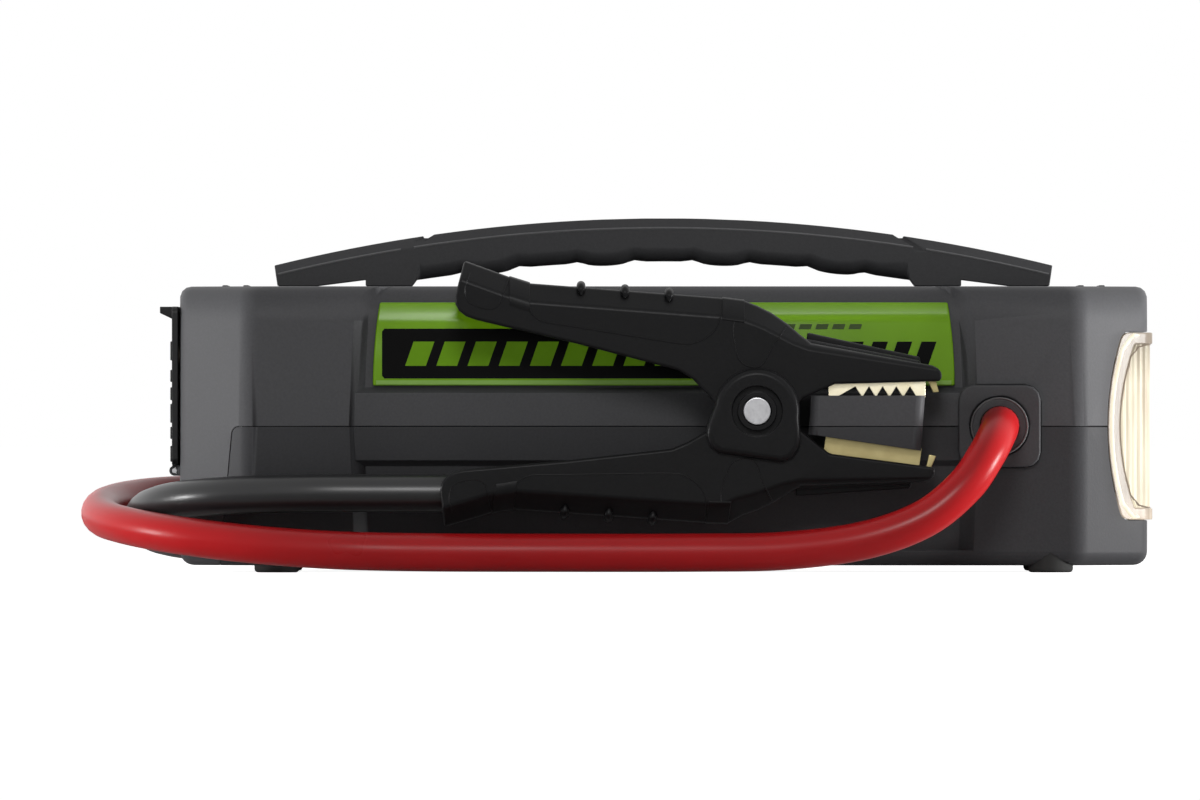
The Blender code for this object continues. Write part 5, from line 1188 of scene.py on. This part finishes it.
FLOOR_SIZE = 60  # m
FLOOR_LIFT = 0.92  # light that the camera alone sees from the floor, so that it is white
SURROUND = 0.12  # light from the surround, which the camera and shiny surfaces see at full strength
scene = bpy.context.scene
scene.view_settings.view_transform = "Standard"
bpy.ops.object.select_all(action="DESELECT")
bpy.ops.mesh.primitive_plane_add(size=FLOOR_SIZE)
floor = bpy.context.object
floor.name = "floor"
floor_paint, tree, shader = begin("white floor paint", 0.9, shine=0.0)
shader.inputs["Base Color"].default_value = linear("#e8e8e8")
seen = add(tree, "ShaderNodeLightPath")
lit = add(tree, "ShaderNodeEmission", {"Color": linear("#ffffff"), "Strength": FLOOR_LIFT})
both = add(tree, "ShaderNodeAddShader", {0: shader.outputs["BSDF"], 1: lit.outputs["Emission"]})
choose = add(
    tree, "ShaderNodeMixShader",
    {"Fac": seen.outputs["Is Camera Ray"], 1: shader.outputs["BSDF"], 2: both.outputs["Shader"]},
)
tree.links.new(choose.outputs["Shader"], tree.nodes["Material Output"].inputs["Surface"])
floor.data.materials.append(floor_paint)

world = bpy.data.worlds.new("white surround")
scene.world = world
world.use_nodes = True
tree = world.node_tree
background = tree.nodes["Background"]
seen = add(tree, "ShaderNodeLightPath").outputs
direct = add(
    tree, "ShaderNodeMath", {0: seen["Is Camera Ray"], 1: seen["Is Glossy Ray"]}, operation="MAXIMUM"
)
through = add(
    tree, "ShaderNodeMath", {0: direct.outputs["Value"], 1: seen["Is Transmission Ray"]}, operation="MAXIMUM"
)
level = add(
    tree, "ShaderNodeMapRange",
    {"Value": through.outputs["Value"], "To Min": SURROUND, "To Max": 1.0},
)
background.inputs["Color"].default_value = linear("#ffffff")
tree.links.new(level.outputs["Result"], background.inputs["Strength"])


def soft_box(name, place, size, power):
    """A square lamp that faces the pack."""
    bpy.ops.object.light_add(type="AREA", location=place)
    lamp = bpy.context.object
    lamp.name = name
    lamp.data.size = size
    lamp.data.energy = power
    aim = Vector((HOUSING_X, 0, PARTING_Z)) - Vector(place)
    lamp.rotation_euler = aim.to_track_quat("-Z", "Y").to_euler()
    return lamp


# Places and sizes are in metres, powers in watts. The end boxes light without a glint, which the strips give.
soft_box("high_box", (0, -2.08, 1.0), 0.5, 12.8)
for name, x, power, glint in (("left", -1.7, 33, 9), ("right", 1.7, 52, 18)):
    soft_box(f"{name}_box", (x, -0.05, 0.15), 0.7, power).visible_glossy = False
    soft_box(f"{name}_strip", (x, -0.05, 0.1), 0.3, glint)

VIEW_WIDTH = 0.5195  # m, width of the picture at the housing's front
VIEW_X = -27.6 * MM  # the picture's middle, from the housing's
VIEW_Z = 74.7 * MM
FOCAL = 800
SENSOR = 36
distance = VIEW_WIDTH * FOCAL / SENSOR
bpy.ops.object.camera_add(
    location=(HOUSING_X + VIEW_X, -HOUSING_SIDE * MM - distance, VIEW_Z), rotation=(math.pi / 2, 0, 0)
)
camera = bpy.context.object
camera.data.lens = FOCAL
camera.data.sensor_width = SENSOR
camera.data.clip_end = FLOOR_SIZE  # so that the whole floor shows
scene.camera = camera
